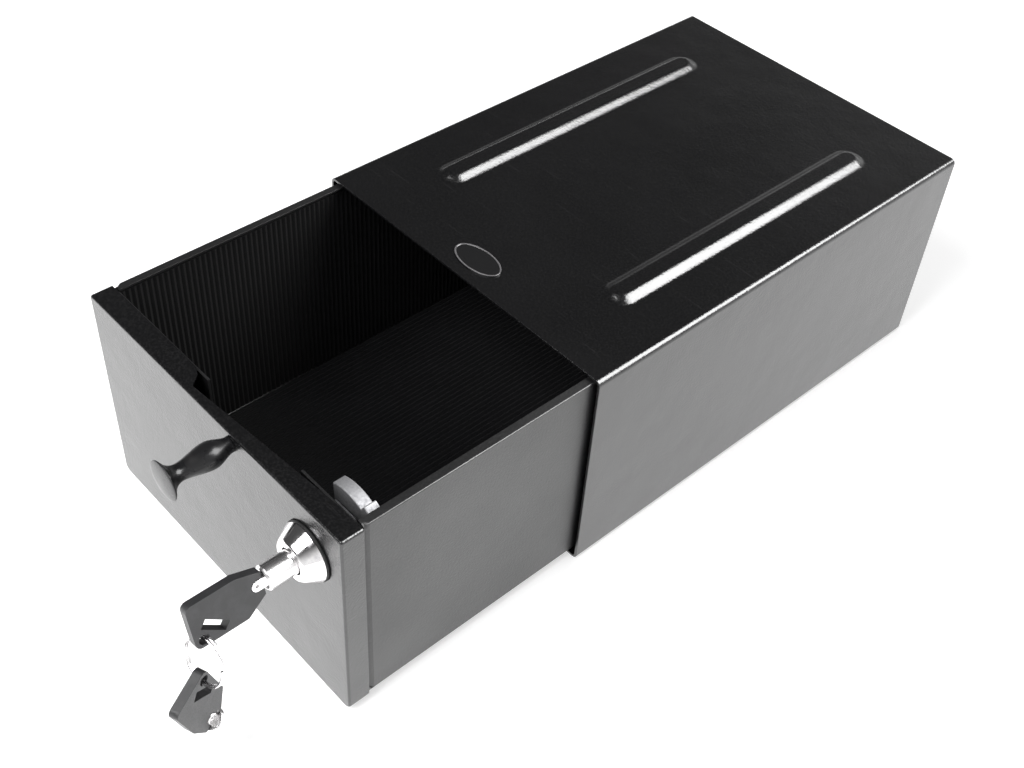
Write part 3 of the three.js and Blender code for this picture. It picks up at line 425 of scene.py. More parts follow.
# Glide strips: two flat runners of pressed black felt, stuck along the sleeve floor so that
# the steel drawer slides quietly on them.
FELT_DARK = (0.020, 0.020, 0.022)
FELT_LIGHT = (0.065, 0.063, 0.062)
FELT_ROUGHNESS = 0.95
FELT_SHEEN = 0.35
FELT_SHEEN_ROUGHNESS = 0.5
HAIRS_PER_METRE = 2600
HAIR_STRETCH = (1, 0.35, 1)
HAIR_LIMITS = (0.3, 0.75)
HAIR_DEPTH = 0.08 * MM
CLUMPS_PER_METRE = 300
CLUMP_DEPTH = 0.15 * MM
FELT_EASING = 0.25 * MM
felt, felt_tree, felt_shader = new_material("glide_felt", FELT_DARK, FELT_ROUGHNESS)
felt_shader.inputs["Sheen Weight"].default_value = FELT_SHEEN
felt_shader.inputs["Sheen Roughness"].default_value = FELT_SHEEN_ROUGHNESS
felt_hair = noise_on(felt_tree, HAIRS_PER_METRE, detail=4, stretch=HAIR_STRETCH)
felt_clumps = noise_on(felt_tree, CLUMPS_PER_METRE, detail=4)
tint(felt_tree, felt_shader, felt_hair, HAIR_LIMITS, FELT_DARK, FELT_LIGHT)
add_relief(felt_tree, felt_shader, (felt_clumps, CLUMP_DEPTH), (felt_hair, HAIR_DEPTH))
for strip in ("glide_strip_left", "glide_strip_right"):
    finished_copy(strip, "sleeve_body", "glide_felt", felt, FELT_EASING)

# Drawer front: a shallow pan of painted sheet steel with its flanges bent back, which is
# spot welded over the front of the tray.
FRONT_BEND = 1.2 * MM
FRONT_BEND_STEPS = 5
FRONT_CORNER = 4.5 * MM
front_low, front_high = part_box("drawer_front")
front_pan = merged_copy("drawer_front")
bent_edges = []
for edge in front_pan.edges:
    middle = (edge.verts[0].co + edge.verts[1].co) / 2
    at_face = max(vert.co.y for vert in edge.verts) < front_low.y + NEAR
    at_side = abs(middle.x) > front_high.x - FRONT_CORNER
    if at_face and (
        at_side or middle.z > front_high.z - FRONT_BEND or middle.z < front_low.z + FRONT_CORNER
    ):
        bent_edges.append(edge)
bmesh.ops.bevel(
    front_pan, geom=bent_edges, offset=FRONT_BEND, segments=FRONT_BEND_STEPS,
    affect="EDGES", profile=0.5, material=-1,
)
pan_piece = finished_piece(
    "drawer_front_bent", front_pan, "drawer_body", "black_paint", black_paint, "drawer_front",
)
ease_edges(pan_piece, SHEET_EASING, segments=3)

# Drawer tray: folded from one painted sheet, and set in a little at the sides where it laps
# inside the front pan. Its upper bends are tight, where those of the solid are wide.
LAP_END = 13.6 * MM
SLOPE_END = 15.35 * MM
SET_IN = 1.15 * MM
OUTER_SKIN = 0.1 * MM
TRAY_SHEET = 1.2 * MM
WIDE_BEND = 3 * MM
TIGHT_BEND = 0.7 * MM
TRAY_EASING = 0.25 * MM
TRAY_ROUGHNESS = (0.36, 0.48)
tray_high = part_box("drawer_tray")[1]
tray_paint = satin_paint("handled_tray_paint", PAINT_BLACK, TRAY_ROUGHNESS)
tray = merged_copy("drawer_tray")
for depth in (LAP_END, SLOPE_END):
    bmesh.ops.bisect_plane(
        tray, geom=list(tray.verts) + list(tray.edges) + list(tray.faces),
        plane_co=(0, front_low.y + depth, 0), plane_no=(0, 1, 0),
    )
bend_x = tray_high.x - WIDE_BEND
bend_z = tray_high.z - WIDE_BEND
for vert in tray.verts:
    outward = abs(vert.co.x) - bend_x
    upward = vert.co.z - bend_z
    reach = math.hypot(outward, upward)
    lapped = vert.co.y < front_low.y + LAP_END + NEAR
    behind = vert.co.y > front_low.y + SLOPE_END - NEAR
    in_bend = min(outward, upward) > -NEAR and reach > WIDE_BEND - TRAY_SHEET - NEAR
    if lapped and outward > WIDE_BEND - OUTER_SKIN:
        vert.co.x -= math.copysign(SET_IN, vert.co.x)
    elif behind and in_bend:
        outside = reach > WIDE_BEND - TRAY_SHEET / 2
        radius = TIGHT_BEND if outside else 0
        corner = WIDE_BEND - (TIGHT_BEND if outside else TRAY_SHEET)
        vert.co.x = math.copysign(bend_x + corner + radius * outward / reach, vert.co.x)
        vert.co.z = bend_z + corner + radius * upward / reach
tray_piece = finished_piece(
    "drawer_tray_folded", tray, "drawer_body", "black_paint", tray_paint, "drawer_tray",
)
ease_edges(tray_piece, TRAY_EASING)

# Drawer lining: five mats of dull black fibre with a fine rib, cut to size and glued in the
# tray so that nothing rattles. The wall mats press a little on the floor mat.
MAT_PRESS = 0.5 * MM
MAT_EASING = 0.25 * MM
LINING_DARK = (0.002, 0.002, 0.0024)
LINING_LIGHT = (0.008, 0.008, 0.009)
LINING_ROUGHNESS = 0.93
LINING_GLOSS = 0.2
LINING_SHEEN = 0.04
LINING_SHEEN_ROUGHNESS = 0.4
FIBRES_PER_METRE = 3200
FIBRE_LIMITS = (0.35, 0.75)
FIBRE_DEPTH = 0.1 * MM
RUBBED_PER_METRE = 40
RUBBED_LIMITS = (0.4, 0.7)
RUBBED_SHARE = 0.4
lining, lining_tree, lining_shader = new_material("ribbed_lining", LINING_DARK, LINING_ROUGHNESS)
lining_shader.inputs["Specular IOR Level"].default_value = LINING_GLOSS
lining_shader.inputs["Sheen Weight"].default_value = LINING_SHEEN
lining_shader.inputs["Sheen Roughness"].default_value = LINING_SHEEN_ROUGHNESS
lining_fibre = noise_on(lining_tree, FIBRES_PER_METRE, detail=4)
lining_rub = noise_on(lining_tree, RUBBED_PER_METRE, detail=4)
lining_rubbed = mixed(
    lining_tree, spread(lining_tree, lining_rub, RUBBED_LIMITS, (0, RUBBED_SHARE)),
    LINING_DARK, LINING_LIGHT,
)
tint(lining_tree, lining_shader, lining_fibre, FIBRE_LIMITS, lining_rubbed, LINING_LIGHT)
add_relief(lining_tree, lining_shader, (lining_fibre, FIBRE_DEPTH))
finished_copy("lining_floor", "drawer_body", "lining", lining, MAT_EASING)
floor_mat_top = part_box("lining_floor")[1].z
for mat in ("lining_left", "lining_right", "lining_front", "lining_back"):
    mat_form = merged_copy(mat)
    for vert in mat_form.verts:
        if vert.co.z < floor_mat_top + MAT_PRESS:
            vert.co.z = floor_mat_top - MAT_PRESS
    mat_piece = finished_piece(
        f"{mat}_finished", mat_form, "drawer_body", "lining", lining, mat,
    )
    ease_edges(mat_piece, MAT_EASING)

# Knob: turned or moulded in glossy black plastic, a slim waist with a flat disc end, and
# bored from behind for the screw that holds it.
KNOB_SPIN_STEPS = 48
KNOB_SMOOTHING = 2
KNOB_BLACK = (0.010, 0.010, 0.011)
KNOB_HAZE = (0.030, 0.028, 0.028)
KNOB_IOR = 1.38
KNOB_ROUGHNESS = (0.22, 0.34)
HAZE_PER_METRE = 90
HAZE_LIMITS = (0.45, 0.8)
HAZE_SHARE = 0.5
RIPPLES_PER_METRE = 500
RIPPLE_DEPTH = 0.01 * MM
KNOB_BORE = 2.3 * MM
KNOB_BORE_END = 16 * MM
KNOB_BORE_TIP = 17 * MM
KNOB_DISC_EDGE = (
    (0, 0), (0.6, 0.2), (0.95, 0.5), (1, 0.8), (1, 1.1), (0.97, 1.4), (0.8, 2.4),
)
KNOB_WAIST = (
    (5.5, 30), (4, 27), (4.1, 24), (4.9, 20), (6.1, 15), (6.6, 11), (6.3, 8), (4.6, 4),
    (3.8, 1.5), (3.9, 0.3), (3.9, 0),
)
knob_low, knob_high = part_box("knob")
knob_centre = (knob_low + knob_high) / 2
knob_foot = Vector((knob_centre.x, knob_high.y, knob_centre.z))
knob_disc = (knob_high.x - knob_low.x) / 2
knob_reach = knob_high.y - knob_low.y


def spin_about_y(form, points, foot, steps):
    """Spins a line of (radius, distance in front of the foot) points about an axis along Y."""
    line = [form.verts.new(foot + Vector((radius, -reach, 0))) for radius, reach in points]
    edges = [form.edges.new(pair) for pair in zip(line, line[1:])]
    bmesh.ops.spin(
        form, geom=line + edges, cent=foot, axis=(0, 1, 0), angle=math.tau,
        steps=steps, use_merge=True,
    )


plastic, plastic_tree, plastic_shader = new_material("knob_plastic", KNOB_BLACK, ior=KNOB_IOR)
plastic_haze = noise_on(plastic_tree, HAZE_PER_METRE, detail=5)
plastic_ripple = noise_on(plastic_tree, RIPPLES_PER_METRE, detail=2)
tint(
    plastic_tree, plastic_shader, plastic_haze, HAZE_LIMITS, KNOB_BLACK, KNOB_HAZE,
    share=HAZE_SHARE,
)
vary_roughness(plastic_tree, plastic_shader, plastic_haze, NOISE_MIDDLE, KNOB_ROUGHNESS)
add_relief(plastic_tree, plastic_shader, (plastic_ripple, RIPPLE_DEPTH))
knob = bmesh.new()
knob_outline = [
    *((knob_disc * share, knob_reach - back * MM) for share, back in KNOB_DISC_EDGE),
    *((radius * MM, reach * MM) for radius, reach in KNOB_WAIST),
    (KNOB_BORE, 0),
    (KNOB_BORE, KNOB_BORE_END),
    (0, KNOB_BORE_TIP),
]
spin_about_y(knob, knob_outline, knob_foot, KNOB_SPIN_STEPS)
knob_piece = finished_piece(
    "turned_knob", knob, "drawer_body", "knob_plastic", plastic, "knob",
)
rounding = knob_piece.modifiers.new("rounding", "SUBSURF")
rounding.levels = KNOB_SMOOTHING
rounding.render_levels = KNOB_SMOOTHING

# Knob screw and washer: a steel machine screw that holds the knob from inside the drawer
# front, on a plain washer. Both are bright zinc plated.
SCREW_EASING = 0.2 * MM
WASHER_EASING = 0.15 * MM
ZINC_LIGHT = (0.52, 0.52, 0.53)
ZINC_DULL = (0.36, 0.36, 0.38)
ZINC_ROUGHNESS = (0.42, 0.55)
SPANGLES_PER_METRE = 60
SPANGLE_LIMITS = (0.35, 0.7)
BRUSHES_PER_METRE = 500
BRUSH_STRETCH = (1, 1, 0.06)
BRUSH_DEPTH = 0.004 * MM
zinc, zinc_tree, zinc_shader = new_material("bright_zinc", ZINC_LIGHT, metallic=1.0)
zinc_spangle = noise_on(zinc_tree, SPANGLES_PER_METRE, detail=4)
zinc_brush = noise_on(zinc_tree, BRUSHES_PER_METRE, stretch=BRUSH_STRETCH)
tint(zinc_tree, zinc_shader, zinc_spangle, SPANGLE_LIMITS, ZINC_LIGHT, ZINC_DULL)
vary_roughness(zinc_tree, zinc_shader, zinc_brush, NOISE_MIDDLE, ZINC_ROUGHNESS)
add_relief(zinc_tree, zinc_shader, (zinc_brush, BRUSH_DEPTH))
finished_copy("knob_screw", "drawer_body", "zinc", zinc, SCREW_EASING)
finished_copy("knob_washer", "drawer_body", "zinc", zinc, WASHER_EASING)

# Lock body: a chromed zinc casting, a cone outside and a threaded barrel with two flats,
# which goes through both front walls.
LOCK_SPIN_STEPS = 96
BEZEL_BASE = 14.5 * MM
BEZEL_FACE = 10.8 * MM
BEZEL_REACH = 9.5 * MM
BEZEL_EDGE_WIDTH = 1.2 * MM
BEZEL_EDGE_DEPTH = 0.9 * MM
BEZEL_BAND = 0.9 * MM
BEZEL_BAND_EDGE = 0.2 * MM
LOCK_BORE = 6.6 * MM
LOCK_BORE_EDGE = 0.4 * MM
BARREL_RADIUS = 9.5 * MM
BARREL_FLAT = 8.2 * MM
BARREL_LENGTH = 20.1 * MM
THREAD_PITCH = 1 * MM
THREAD_DEPTH = 0.5 * MM
THREAD_TURNS = 18
LOCK_EASING = 0.12 * MM
CHROME_LIGHT = (0.90, 0.89, 0.89)
CHROME_DULL = (0.70, 0.68, 0.70)
CHROME_ROUGHNESS = (0.05, 0.2)
SMUDGES_PER_METRE = 220
SMUDGE_LIMITS = (0.45, 0.75)
SMUDGE_SHEEN_LIMITS = (0.3, 0.75)
CHROME_RIPPLES_PER_METRE = 420
CHROME_RIPPLE_DEPTH = 0.003 * MM
gasket_low, gasket_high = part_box("lock_gasket")
gasket_depth = gasket_high.y - gasket_low.y
lock_foot = (gasket_low + gasket_high) / 2
lock_foot.y = gasket_high.y

chrome, chrome_tree, chrome_shader = new_material("chrome", CHROME_LIGHT, metallic=1.0)
chrome_smudge = noise_on(chrome_tree, SMUDGES_PER_METRE, detail=5)
chrome_ripple = noise_on(chrome_tree, CHROME_RIPPLES_PER_METRE, detail=2)
tint(chrome_tree, chrome_shader, chrome_smudge, SMUDGE_LIMITS, CHROME_LIGHT, CHROME_DULL)
vary_roughness(chrome_tree, chrome_shader, chrome_smudge, SMUDGE_SHEEN_LIMITS, CHROME_ROUGHNESS)
add_relief(chrome_tree, chrome_shader, (chrome_ripple, CHROME_RIPPLE_DEPTH))
lock_body = bmesh.new()
lock_outline = [
    (LOCK_BORE, -BARREL_LENGTH),
    (LOCK_BORE, BEZEL_REACH - LOCK_BORE_EDGE),
    (LOCK_BORE + LOCK_BORE_EDGE, BEZEL_REACH),
    (BEZEL_FACE - BEZEL_EDGE_WIDTH, BEZEL_REACH),
    (BEZEL_FACE, BEZEL_REACH - BEZEL_EDGE_DEPTH),
    (BEZEL_BASE, gasket_depth + BEZEL_BAND),
    (BEZEL_BASE, gasket_depth + BEZEL_BAND_EDGE),
    (BEZEL_BASE - BEZEL_BAND_EDGE, gasket_depth),
    (BARREL_RADIUS, gasket_depth),
]
for turn in range(THREAD_TURNS):
    thread_start = -(turn + 0.5) * THREAD_PITCH
    lock_outline.append((BARREL_RADIUS, thread_start))
    lock_outline.append((BARREL_RADIUS - THREAD_DEPTH, thread_start - THREAD_PITCH / 2))
lock_outline += [
    (BARREL_RADIUS, -BARREL_LENGTH + THREAD_PITCH),
    (BARREL_RADIUS - THREAD_DEPTH, -BARREL_LENGTH),
    (LOCK_BORE, -BARREL_LENGTH),
]
spin_about_y(lock_body, lock_outline, lock_foot, LOCK_SPIN_STEPS)
for vert in lock_body.verts:
    if vert.co.y > lock_foot.y:
        sideways = vert.co.x - lock_foot.x
        vert.co.x = lock_foot.x + max(-BARREL_FLAT, min(BARREL_FLAT, sideways))
lock_piece = finished_piece(
    "chromed_lock_body", lock_body, "drawer_body", "chrome", chrome, "lock_body",
)
ease_edges(lock_piece, LOCK_EASING)

# Lock gasket: a thin ring of black rubber, squeezed flat between the chromed bezel and the
# painted drawer front.
GASKET_EASING = 0.3 * MM
RUBBER_BLACK = (0.012, 0.012, 0.012)
RUBBER_BLOOM = (0.045, 0.044, 0.043)
RUBBER_ROUGHNESS = 0.7
BLOOM_PER_METRE = 700
BLOOM_LIMITS = (0.45, 0.8)
BLOOM_DEPTH = 0.04 * MM
rubber, rubber_tree, rubber_shader = new_material("gasket_rubber", RUBBER_BLACK, RUBBER_ROUGHNESS)
rubber_bloom = noise_on(rubber_tree, BLOOM_PER_METRE, detail=4)
tint(rubber_tree, rubber_shader, rubber_bloom, BLOOM_LIMITS, RUBBER_BLACK, RUBBER_BLOOM)
add_relief(rubber_tree, rubber_shader, (rubber_bloom, BLOOM_DEPTH))
finished_copy("lock_gasket", "drawer_body", "gasket_rubber", rubber, GASKET_EASING, segments=3)

# Lock washer and nut: zinc-plated steel. The nut goes on the threaded barrel inside the
# drawer and pulls the lock body tight against both front walls.
LOCK_WASHER_EASING = 0.2 * MM
LOCK_NUT_EASING = 0.5 * MM
finished_copy("lock_washer", "drawer_body", "zinc", zinc, LOCK_WASHER_EASING)
finished_copy("lock_nut", "drawer_body", "zinc", zinc, LOCK_NUT_EASING, segments=3)

# Lock plug: the chromed core, which turns in the lock body with the key on its post and
# has a square end inside for the cam.
PLUG_EASING = 0.15 * MM
finished_copy("lock_plug", "plug_body", "chrome", chrome, PLUG_EASING)

# Lock cam: a thick fan with a lug, die-cast in zinc and left dull, pushed on the square
# end of the plug.
CAM_EASING = 0.6 * MM
CAST_LIGHT = (0.38, 0.38, 0.39)
CAST_DARK = (0.29, 0.29, 0.30)
CAST_ROUGHNESS = (0.58, 0.75)
CAST_GRAINS_PER_METRE = 700
CAST_GRAIN_LIMITS = (0.35, 0.65)
CAST_GRAIN_DEPTH = 0.03 * MM
cast_zinc, cast_tree, cast_shader = new_material("cast_zinc", CAST_LIGHT, metallic=1.0)
cast_grain = noise_on(cast_tree, CAST_GRAINS_PER_METRE, detail=4)
tint(cast_tree, cast_shader, cast_grain, CAST_GRAIN_LIMITS, CAST_LIGHT, CAST_DARK)
vary_roughness(cast_tree, cast_shader, cast_grain, NOISE_MIDDLE, CAST_ROUGHNESS)
add_relief(cast_tree, cast_shader, (cast_grain, CAST_GRAIN_DEPTH))
finished_copy("lock_cam", "plug_body", "zinc", cast_zinc, CAM_EASING, segments=3)

# Cam washer and nut: small zinc-plated steel parts, which hold the cam on the end of the
# plug.
CAM_NUT_EASING = 0.3 * MM
finished_copy("cam_washer", "plug_body", "zinc", zinc, WASHER_EASING)
finished_copy("cam_nut", "plug_body", "zinc", zinc, CAM_NUT_EASING)

# Key barrels: chromed steel tubes that slip over the post of the plug, each with a row of
# small cuts round its tip and a flat tongue that the bow is moulded round. The spare key is
# the same again, turned the way it hangs in the photograph.
KEY_TURN = math.radians(14)
SPARE_ALONG = Vector((0.116, -0.314, 0.942)).normalized()
SPARE_ACROSS = Vector((-0.334, 0.881, 0.335))
HOLE_ALONG = 55.2 * MM
HOLE_ACROSS = 9.3 * MM
TUBE_RADIUS = 6 * MM
TUBE_BORE = 4.3 * MM
TUBE_TIP = 2.3 * MM
TUBE_BORE_END = 14.3 * MM
TUBE_END = 23.5 * MM
TUBE_CHAMFER = 1 * MM
TUBE_SIDES = 70
TIP_RING = 1.6 * MM
TIP_CUT_EVERY = 10
TIP_CUT_WIDTH = 3
TIP_CUT_DEPTH = 0.9 * MM
TONGUE_HALF_WIDTH = 2.6 * MM
TONGUE_HALF_THICKNESS = 2.5 * MM
TONGUE_END = 30 * MM
TONGUE_STEPS = 16
TONGUE_EYE = 0.8 * MM
TONGUE_EYE_SIDES = 24
BARREL_EASING = 0.2 * MM
STEEL_LIGHT = (0.90, 0.89, 0.89)
STEEL_STREAK = (0.74, 0.72, 0.74)
STEEL_ROUGHNESS = (0.24, 0.30)
STREAKS_PER_METRE = 800
STREAK_STRETCH = (1, 0.04, 1)
STREAK_LIMITS = (0.5, 0.7)
STREAK_DEPTH = 0.001 * MM
joints = {joint["name"]: joint for joint in frame["joints"]}


def key_place(origin, along, across):
    """The matrix that sets a key down: X along it to the bow, Y across it, Z through it."""
    through = along.cross(across).normalized()
    square = through.cross(along).normalized()
    turn = Matrix((along, square, through)).transposed().to_4x4()
    return Matrix.Translation(origin) @ turn


key_place_in_lock = key_place(
    lock_foot, Vector((0, -1, 0)), Vector((math.sin(KEY_TURN), 0, -math.cos(KEY_TURN))),
)
spare_hole = Vector(joints["spare_key_swing"]["pos_m"])
spare_turn = key_place(Vector((0, 0, 0)), SPARE_ALONG, SPARE_ACROSS)
spare_place = Matrix.Translation(
    spare_hole - spare_turn @ Vector((HOLE_ALONG, HOLE_ACROSS, 0)),
) @ spare_turn


def round_loop(form, centre_x, centre_y, radius, sides):
    """A closed round line in the plane of the key, as its edges."""
    rim = bmesh.ops.create_circle(form, segments=sides, radius=radius)["verts"]
    bmesh.ops.translate(form, verts=rim, vec=(centre_x, centre_y, 0))
    return edges_among(rim)


def thickened(form, edges, half_thickness):
    """Fills a flat outline with its holes and gives it thickness both ways."""
    filled = bmesh.ops.triangle_fill(form, edges=edges, use_beauty=True, normal=(0, 0, 1))
    flat = [part for part in filled["geom"] if isinstance(part, bmesh.types.BMFace)]
    bmesh.ops.translate(
        form, verts=list({vert for face in flat for vert in face.verts}),
        vec=(0, 0, -half_thickness),
    )
    grown = bmesh.ops.extrude_face_region(form, geom=flat)["geom"]
    lifted = [part for part in grown if isinstance(part, bmesh.types.BMVert)]
    bmesh.ops.translate(form, verts=lifted, vec=(0, 0, 2 * half_thickness))


def outline_edges(form, points):
    """A closed line of straight edges through these points in the plane of the key."""
    line = [form.verts.new((along, across, 0)) for along, across in points]
    return [form.edges.new(pair) for pair in zip(line, line[1:] + line[:1])]


def arc_points(centre_x, centre_y, radius, start, end, steps):
    """Points on an arc in the plane of the key, angles in degrees."""
    turns = [math.radians(start + (end - start) * step / steps) for step in range(steps + 1)]
    return [
        (centre_x + radius * math.cos(turn), centre_y + radius * math.sin(turn))
        for turn in turns
    ]


def key_barrel():
    """The tube of a key with its cut tip, and the tongue behind it."""
    form = bmesh.new()
    shoulder = TUBE_END - TUBE_CHAMFER
    profile = (
        (TUBE_BORE_END + TUBE_BORE, 0), (TUBE_BORE_END, TUBE_BORE), (TUBE_TIP, TUBE_BORE),
        (TUBE_TIP, TUBE_RADIUS), (TUBE_TIP + TIP_RING, TUBE_RADIUS), (shoulder, TUBE_RADIUS),
        (TUBE_END, TUBE_RADIUS - TUBE_CHAMFER), (TUBE_END, 0),
    )
    line = [form.verts.new((along, radius, 0)) for along, radius in profile]
    edges = [form.edges.new(pair) for pair in zip(line, line[1:])]
    bmesh.ops.spin(
        form, geom=line + edges, cent=(0, 0, 0), axis=(1, 0, 0), angle=math.tau,
        steps=TUBE_SIDES, use_merge=True,
    )
    for vert in form.verts:
        side = round(math.atan2(vert.co.z, vert.co.y) / math.tau * TUBE_SIDES)
        at_tip = abs(vert.co.x - TUBE_TIP) < NEAR
        if at_tip and side % TIP_CUT_EVERY < TIP_CUT_WIDTH:
            vert.co.x += TIP_CUT_DEPTH
    round_start = TONGUE_END - TONGUE_HALF_WIDTH
    tongue = [(shoulder, -TONGUE_HALF_WIDTH)]
    tongue += arc_points(round_start, 0, TONGUE_HALF_WIDTH, -90, 90, TONGUE_STEPS)
    tongue += [(shoulder, TONGUE_HALF_WIDTH)]
    eye = round_loop(form, round_start, 0, TONGUE_EYE, TONGUE_EYE_SIDES)
    thickened(form, outline_edges(form, tongue) + eye, TONGUE_HALF_THICKNESS)
    return form


steel, steel_tree, steel_shader = new_material("turned_steel", STEEL_LIGHT, metallic=1.0)
steel_streak = noise_on(steel_tree, STREAKS_PER_METRE, stretch=STREAK_STRETCH)
tint(steel_tree, steel_shader, steel_streak, STREAK_LIMITS, STEEL_LIGHT, STEEL_STREAK)
vary_roughness(steel_tree, steel_shader, steel_streak, NOISE_MIDDLE, STEEL_ROUGHNESS)
add_relief(steel_tree, steel_shader, (steel_streak, STREAK_DEPTH))

keys = (("key", "key_body", key_place_in_lock), ("spare_key", "spare_key_body", spare_place))
for key, body, place in keys:
    barrel = key_barrel()
    bmesh.ops.transform(barrel, matrix=place, verts=barrel.verts)
    barrel_piece = finished_piece(
        f"{key}_barrel_turned", barrel, body, "chrome", steel, f"{key}_barrel",
    )
    ease_edges(barrel_piece, BARREL_EASING)

# Key bows: flat grips of grained black plastic moulded round the tongue, with sloping
# shoulders, a slanting window in the middle and a hole in one corner for the ring.
BOW_START = 24.5 * MM
BOW_END = 59.5 * MM
BOW_NECK = 6 * MM
BOW_NARROW_SIDE = 9.6 * MM
BOW_NARROW_SHOULDER = 36 * MM
BOW_WIDE_SIDE = 12.9 * MM
BOW_WIDE_SHOULDER = 34.5 * MM
BOW_CORNER = 3 * MM
BOW_CORNER_STEPS = 8
BOW_HALF_THICKNESS = 2.25 * MM
BOW_HOLE_RADIUS = 2.5 * MM
BOW_HOLE_SIDES = 32
BOW_EASING = 0.5 * MM
TONGUE_GAP = 0.3 * MM
BOW_WINDOW = ((52.4, 0.1), (42.6, 7.6), (45.5, 11.2), (55.4, 3.8))
BOW_BLACK = (0.022, 0.022, 0.024)
BOW_RUBBED = (0.045, 0.045, 0.048)
BOW_IOR = 1.55
BOW_ROUGHNESS = (0.36, 0.55)
BOW_GRAINS_PER_METRE = 2200
BOW_GRAIN_DEPTH = 0.05 * MM
BOW_RUB_PER_METRE = 120
BOW_RUB_LIMITS = (0.45, 0.75)

bow_plastic, bow_tree, bow_shader = new_material("bow_plastic", BOW_BLACK, ior=BOW_IOR)
bow_grain = noise_on(bow_tree, BOW_GRAINS_PER_METRE)
bow_rub = noise_on(bow_tree, BOW_RUB_PER_METRE, detail=4)
tint(bow_tree, bow_shader, bow_rub, BOW_RUB_LIMITS, BOW_BLACK, BOW_RUBBED)
vary_roughness(bow_tree, bow_shader, bow_grain, NOISE_MIDDLE, BOW_ROUGHNESS)
add_relief(bow_tree, bow_shader, (bow_grain, BOW_GRAIN_DEPTH))


def key_bow():
    """The grip of a key with its tongue cut, its window and its ring hole."""
    form = bmesh.new()
    far = BOW_END - BOW_CORNER
    cut_half = TONGUE_HALF_WIDTH + TONGUE_GAP
    narrow, wide = BOW_CORNER - BOW_NARROW_SIDE, BOW_WIDE_SIDE - BOW_CORNER
    outline = [(BOW_START, -BOW_NECK), (BOW_NARROW_SHOULDER, -BOW_NARROW_SIDE)]
    outline += arc_points(far, narrow, BOW_CORNER, -90, 0, BOW_CORNER_STEPS)
    outline += arc_points(far, wide, BOW_CORNER, 0, 90, BOW_CORNER_STEPS)
    outline += [(BOW_WIDE_SHOULDER, BOW_WIDE_SIDE), (BOW_START, BOW_NECK)]
    outline += [(BOW_START, cut_half)]
    outline += arc_points(TONGUE_END - TONGUE_HALF_WIDTH, 0, cut_half, 90, -90, TONGUE_STEPS)
    outline += [(BOW_START, -cut_half)]
    window = [(along * MM, across * MM) for along, across in BOW_WINDOW]
    hole = round_loop(form, HOLE_ALONG, HOLE_ACROSS, BOW_HOLE_RADIUS, BOW_HOLE_SIDES)
    edges = outline_edges(form, outline) + outline_edges(form, window) + hole
    thickened(form, edges, BOW_HALF_THICKNESS)
    return form


for key, body, place in keys:
    bow = key_bow()
    bmesh.ops.transform(bow, matrix=place, verts=bow.verts)
    bow_piece = finished_piece(
        f"{key}_bow_moulded", bow, body, "bow_plastic", bow_plastic, f"{key}_bow",
    )
    ease_edges(bow_piece, BOW_EASING, segments=3)

# Split ring: chromed spring wire wound a little short of two turns, threaded through the
# corner holes of both bows, and slanted the way it hangs in the photograph.
RING_RADIUS = 11.5 * MM
RING_WIRE = 0.6 * MM
RING_WIRE_SIDES = 16
RING_PITCH = 1.4 * MM
RING_TURNS = 1.85
RING_AXIS = Vector((-0.149, 0.955, -0.255)).normalized()
RING_TO_KEY = Vector((-0.3155, 0.1928, 0.929)).normalized()
RING_STEPS = 150
key_hole = key_place_in_lock @ Vector((HOLE_ALONG, HOLE_ACROSS, 0))
ring_centre = key_hole - RING_TO_KEY * RING_RADIUS
ring = bmesh.new()
wire = bmesh.ops.create_circle(
    ring, segments=RING_WIRE_SIDES, radius=RING_WIRE, cap_ends=True,
)["verts"]
ring_sideways = RING_AXIS.cross(RING_TO_KEY).normalized()
ring_start = ring_centre + ring_sideways * RING_RADIUS - RING_AXIS * RING_PITCH * RING_TURNS / 2
wire_turn = Matrix((RING_AXIS, ring_sideways, ring_sideways.cross(RING_AXIS))).transposed()
bmesh.ops.transform(
    ring, verts=wire, matrix=Matrix.Translation(ring_start) @ wire_turn.to_4x4(),
)
bmesh.ops.spin(
    ring, geom=list(ring.faces), cent=ring_centre, axis=RING_AXIS,
    dvec=RING_AXIS * RING_PITCH * RING_TURNS / RING_STEPS,
    angle=math.tau * RING_TURNS, steps=RING_STEPS,
)
finished_piece("wound_split_ring", ring, "ring_body", "chrome", chrome, "split_ring")

# Camera: where the photograph was taken from, as found from the straight edges of the
# sleeve and the drawer, and framed as it is.
CAMERA_PLACE = Vector((0.376964, -0.478479, 0.548404))
CAMERA_RIGHT = Vector((0.6715727, 0.7389884, 0.0537238))
CAMERA_UP = Vector((-0.5421356, 0.4406639, 0.7154749))
CAMERA_BACK = Vector((0.5050535, -0.5096190, 0.6965697))
CAMERA_LENS = 47.3224
CAMERA_SENSOR = 36
CAMERA_SHIFT = (0.002908, -0.005429)
camera_data = bpy.data.cameras.new("camera")
camera_data.lens = CAMERA_LENS
camera_data.sensor_width = CAMERA_SENSOR
camera_data.shift_x, camera_data.shift_y = CAMERA_SHIFT
camera = bpy.data.objects.new("camera", camera_data)
bpy.context.scene.collection.objects.link(camera)
camera_turn = Matrix((CAMERA_RIGHT, CAMERA_UP, CAMERA_BACK)).transposed().to_4x4()
camera.matrix_world = Matrix.Translation(CAMERA_PLACE) @ camera_turn
bpy.context.scene.camera = camera

# Floor: a wide sheet of pale studio paper, which looks white straight on and in gloss and
# keeps the shadow of the object.
FLOOR_HALF = 6
FLOOR_COLOUR = (0.86, 0.86, 0.86)
FLOOR_LIFT = 0.50
PAPER_ROUGHNESS = 0.9
PAPER_WHITE = (1, 1, 1, 1)


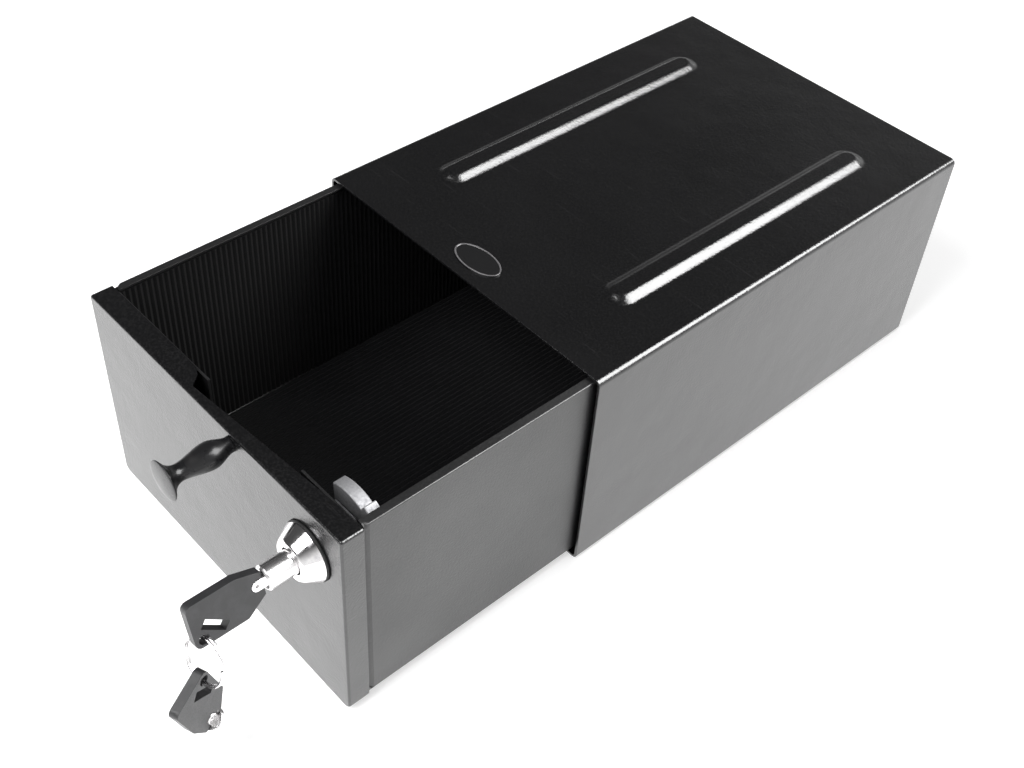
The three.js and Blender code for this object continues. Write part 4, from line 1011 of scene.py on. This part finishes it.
def seen_directly(tree, by_camera):
    """One for glossy and transmission rays, and that much for the camera's own rays."""
    rays = tree.nodes.new("ShaderNodeLightPath")
    total = spread(tree, rays.outputs["Is Camera Ray"], (0, 1), (0, by_camera))
    for name in ("Is Glossy Ray", "Is Transmission Ray"):
        larger = tree.nodes.new("ShaderNodeMath")
        larger.operation = "MAXIMUM"
        tree.links.new(total, larger.inputs[0])
        tree.links.new(rays.outputs[name], larger.inputs[1])
        total = larger.outputs["Value"]
    return total


floor_form = bmesh.new()
bmesh.ops.create_grid(floor_form, x_segments=1, y_segments=1, size=FLOOR_HALF)
floor_mesh = bpy.data.meshes.new("floor")
floor_form.to_mesh(floor_mesh)
floor_form.free()
paper, paper_tree, paper_shader = new_material("studio_paper", FLOOR_COLOUR, PAPER_ROUGHNESS)
paper_shader.inputs["Specular IOR Level"].default_value = 0
paper_shader.inputs["Emission Color"].default_value = PAPER_WHITE
paper_tree.links.new(
    seen_directly(paper_tree, FLOOR_LIFT), paper_shader.inputs["Emission Strength"],
)
floor_mesh.materials.append(paper)
floor = bpy.data.objects.new("floor", floor_mesh)
bpy.context.scene.collection.objects.link(floor)

# World: an even soft light for dull surfaces, and plain white behind the object. Gloss sees
# white low down, like the paper, dim overhead and at the left rear, like an unlit room.
WORLD_LIGHT = (0.55, 0.55, 0.55)
SKY_LOW = (1.0, 1.0, 1.0)
SKY_HIGH = (0.07, 0.07, 0.07)
SKY_UP = (-0.5, -0.2, 1.0)
SKY_FADE = 0.62
world = bpy.data.worlds.new("studio")
bpy.context.scene.world = world
world.use_nodes = True
sky_tree = world.node_tree
sky_shader = sky_tree.nodes["Background"]
sky_place = sky_tree.nodes.new("ShaderNodeTexCoord")
sky_height = sky_tree.nodes.new("ShaderNodeVectorMath")
sky_height.operation = "DOT_PRODUCT"
sky_height.inputs[1].default_value = SKY_UP
sky_tree.links.new(sky_place.outputs["Generated"], sky_height.inputs[0])
sky_dark = spread(sky_tree, sky_height.outputs["Value"], (0, SKY_FADE), (0, 1))
sky_in_gloss = mixed(sky_tree, sky_dark, SKY_LOW, SKY_HIGH)
sky_light = mixed(sky_tree, seen_directly(sky_tree, 0), WORLD_LIGHT, sky_in_gloss)
sky_rays = sky_tree.nodes.new("ShaderNodeLightPath")
sky_tree.links.new(
    mixed(sky_tree, sky_rays.outputs["Is Camera Ray"], sky_light, SKY_LOW),
    sky_shader.inputs["Color"],
)

# Lamps: a large soft one high at the right rear, seen only in the gloss of the rib slopes
# and bent edges, and a weaker one from the front, which also lights dull surfaces.
for lamp_name, direction, distance, size, power, on_dull in (
    ("gloss_lamp", Vector((0.47, 0.50, 0.71)), 1.5, 1.1, 58, False),
    ("floor_lamp", Vector((-0.05, -0.75, 0.80)), 1.6, 0.9, 22, True),
):
    lamp_data = bpy.data.lights.new(lamp_name, "AREA")
    lamp_data.size = size
    lamp_data.energy = power
    lamp = bpy.data.objects.new(lamp_name, lamp_data)
    bpy.context.scene.collection.objects.link(lamp)
    lamp.visible_diffuse = on_dull
    middle = (cad_box[0] + cad_box[1]) / 2
    lamp.location = middle + direction.normalized() * distance
    lamp.rotation_euler = direction.to_track_quat("Z", "Y").to_euler()

bpy.context.scene.view_settings.view_transform = "Standard"
